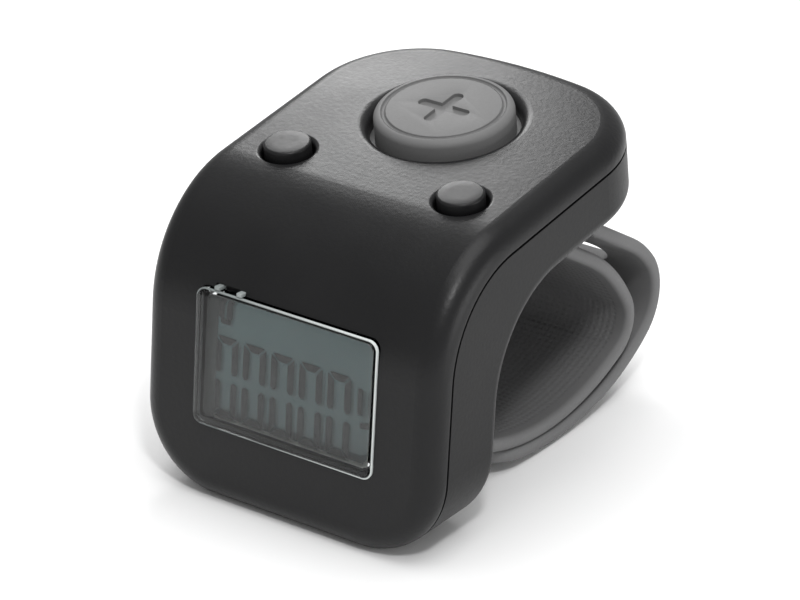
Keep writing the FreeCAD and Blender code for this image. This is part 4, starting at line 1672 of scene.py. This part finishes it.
@dataclass
class Screws:
    """Small steel screws with a cross recess."""

    finishes: Finishes
    head_radius: float = 1.15
    head_round: float = 0.18
    shank_radius: float = 0.6
    tip_radius: float = 0.3
    tip_length: float = 0.5
    recess: tuple[float, float] = (1.35, 0.3)
    recess_share: float = 0.6
    case_size: tuple[float, float] = (4.0, 0.55)
    door_size: tuple[float, float] = (2.4, 0.25)
    top_place: tuple[float, float, float] = (17.4, 6.05, 8.6)
    front_place: tuple[float, float, float] = (6.5, 8.1, 10.9)
    door_place: tuple[float, float, float] = (2.6, 8.45, 9.2)

    def one(self, name: str, length: float, head: float) -> bpy.types.Object:
        """One screw, its head below the origin and its shank up z.

        Args:
            name: Name of the screw.
            length: Length of the shank.
            head: Height of the head.

        Returns:
            The screw.
        """
        depth = head * self.recess_share
        rim = min(self.head_round, depth)
        profile = [(0.0, length), (self.tip_radius, length), (self.shank_radius, length - self.tip_length),
                   (self.shank_radius, 0.0), (self.head_radius, 0.0),
                   *turn_of((self.head_radius - rim, rim - head), rim, 0.0, -90.0, 4), (0.0, -head)]
        piece = spun(name, profile, 40)
        wide, thin = self.recess
        bar = block("recess", (wide, thin, 2 * depth), (0.0, 0.0, -head))
        other = block("recess_other", (thin, wide, 2 * depth), (0.0, 0.0, -head))
        combine(piece, combine(bar, other, Blend.ADD), Blend.CUT)
        return piece

    def build(self) -> None:
        """Makes the four case screws as one piece, and the door screw."""
        pattern = self.one("case_screw_set", *self.case_size)
        placed = []
        sides = ((CASE.top, self.top_place), (CASE.front, self.front_place))
        for hand in (-1.0, 1.0):
            for frame_at, (along, depth, across) in sides:
                screw = twin(pattern, f"case_screw_{len(placed)}")
                placed.append(seat(screw, frame_at(along, depth, across * hand)))
        bpy.data.objects.remove(pattern, do_unlink=True)
        piece = joined(placed)
        piece.name = "case_screw_set"
        steel = self.finishes.get("screw_steel")
        finish_piece(piece, steel, Body.CASE, ["case_screws"], 30.0)
        door = self.one("battery_door_screw", *self.door_size)
        seat(door, CASE.front(*self.door_place))
        finish_piece(door, steel, Body.CASE, ["door_screw"], 30.0)


# ---------------------------------------------------------------- studio


@dataclass(frozen=True)
class SoftBox:
    """Soft lamp: its place, the point it faces and its sides in metres, and its power in watts."""

    name: str
    place: tuple[float, float, float]
    aim: tuple[float, float, float]
    size: tuple[float, float]
    power: float

    def hang(self) -> None:
        """Hangs the lamp so that it faces its aim."""
        data = bpy.data.lights.new(self.name, "AREA")
        data.shape = "RECTANGLE"
        data.size, data.size_y = self.size
        data.energy = self.power
        holder = bpy.data.objects.new(self.name, data)
        direction = Vector(self.aim) - Vector(self.place)
        turn = direction.to_track_quat("-Z", "Y").to_matrix().to_4x4()
        holder.matrix_world = Matrix.Translation(Vector(self.place)) @ turn
        holder.visible_camera = False
        bpy.context.scene.collection.objects.link(holder)


SOFT_BOXES = (
    SoftBox("rear_left_box", (-0.0523, 0.0559, 0.0668), (-0.018, 0.018, 0.0267), (0.032, 0.032), 0.030),
    SoftBox("top_box", (0.05, 0.0, 0.60), (0.0, 0.0, 0.0), (0.5, 0.5), 2.3),
    SoftBox("right_front_box", (0.13, -0.14, 0.25), (0.010, -0.014, 0.020), (0.03, 0.03), 0.26),
    SoftBox("right_side_box", (0.16, 0.03, 0.03), (0.0, 0.005, 0.012), (0.10, 0.05), 0.055),
)


@dataclass
class Studio:
    """Pale floor, soft light and the camera."""

    camera_place: tuple[float, float, float] = (0.163257, -0.229146, 0.147292)
    camera_back: tuple[float, float, float] = (0.52808, -0.72960, 0.43452)
    lens: float = 180.0
    sensor_width: float = 36.0
    clip: tuple[float, float] = (0.01, 10.0)
    floor_size: float = 3.0
    floor_drop: float = 0.00002
    floor_colour: tuple[float, float, float] = (0.93, 0.93, 0.93)
    floor_roughness: float = 0.9
    floor_specular: float = 0.1
    world_strength: float = 0.46

    def camera(self) -> None:
        """Sets the camera."""
        back = Vector(self.camera_back).normalized()
        data = bpy.data.cameras.new("view")
        data.lens = self.lens
        data.sensor_width = self.sensor_width
        data.clip_start, data.clip_end = self.clip
        right = Vector((0.0, 0.0, 1.0)).cross(back).normalized()
        up = back.cross(right)
        turn = Matrix((right, up, back)).transposed().to_4x4()
        holder = bpy.data.objects.new("view", data)
        holder.matrix_world = Matrix.Translation(Vector(self.camera_place)) @ turn
        bpy.context.scene.collection.objects.link(holder)
        bpy.context.scene.camera = holder

    def floor(self) -> None:
        """Lays the pale floor."""
        deselect()
        bpy.ops.mesh.primitive_plane_add(size=self.floor_size, location=(0.0, 0.0, -self.floor_drop))
        piece = newest("floor")
        material, _, shader = material_start("pale_floor")
        shader.inputs["Base Color"].default_value = (*self.floor_colour, 1.0)
        shader.inputs["Roughness"].default_value = self.floor_roughness
        shader.inputs["Specular IOR Level"].default_value = self.floor_specular
        piece.data.materials.append(material)

    def world(self) -> None:
        """Fills the room with even white light."""
        world = bpy.data.worlds.new("soft_room")
        world.use_nodes = True
        sky = world.node_tree.nodes["Background"]
        sky.inputs["Color"].default_value = (1.0, 1.0, 1.0, 1.0)
        sky.inputs["Strength"].default_value = self.world_strength
        bpy.context.scene.world = world

    def build(self) -> None:
        """Sets up the whole studio."""
        bpy.context.scene.view_settings.view_transform = "Standard"
        self.camera()
        self.floor()
        self.world()
        for box in SOFT_BOXES:
            box.hang()


# ---------------------------------------------------------------- assembly


class CarriedSolids:
    """Solids of the frame whose shape is right, given their finishes."""

    def __init__(self, finishes: Finishes) -> None:
        """Keeps the finishes."""
        self.finishes = finishes

    def dress(self) -> None:
        """Gives every solid its finish by its slot in the record."""
        slots = {part["node"]: part["material_slot"] for part in frame["record"]["subparts"]}
        for node, solid in frame["nodes"].items():
            material = self.finishes.get(slots[node])
            solid.data.materials.clear()
            solid.data.materials.append(material)
            LOG.info("%s: finish %s", node, slots[node])


SIDE_BUTTONS_ACROSS = 8.1
TAIL_CORNER = 5.76
SLOT_START, SLOT_PITCH, SLOT_COUNT = 14.4, 4.6, 4
OUTER_ROUTE = Route((13.0, 5.05), -31.8, 10.95, ((11.15, 19.0), (4.16, 92.1), (18.3, 24.5), (28.0, 33.9)))
INNER_ROUTE = Route((12.4, 2.7), -32.0, 4.6, ((16.7, 27.5), (2.8, 93.0), (22.0, 45.5)), 8.8)


def main() -> None:
    """Builds the studio, the finishes and every piece."""
    logging.basicConfig(level=logging.INFO, format="%(name)s %(message)s")
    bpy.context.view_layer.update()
    Studio().build()
    finishes = Finishes()
    CarriedSolids(finishes).dress()
    CountButton(finishes).build()
    SmallButton(finishes, "reset_button_cap", "reset_button", Body.RESET, -SIDE_BUTTONS_ACROSS).build()
    SmallButton(finishes, "light_button_cap", "light_button", Body.LIGHT, SIDE_BUTTONS_ACROSS).build()
    Display(finishes).build()
    slots = tuple(SLOT_START + SLOT_PITCH * count for count in range(SLOT_COUNT))
    StrapLayer(finishes, "outer_band", "outer_strap", OUTER_ROUTE,
               tail_corner=TAIL_CORNER, slots=slots).build()
    StrapLayer(finishes, "inner_band", "inner_strap", INNER_ROUTE, dimple_pitch=DIMPLE_PITCH).build()
    StrapFittings(finishes, OUTER_ROUTE, INNER_ROUTE).build()
    Screws(finishes).build()


if __name__ == "__main__":
    main()
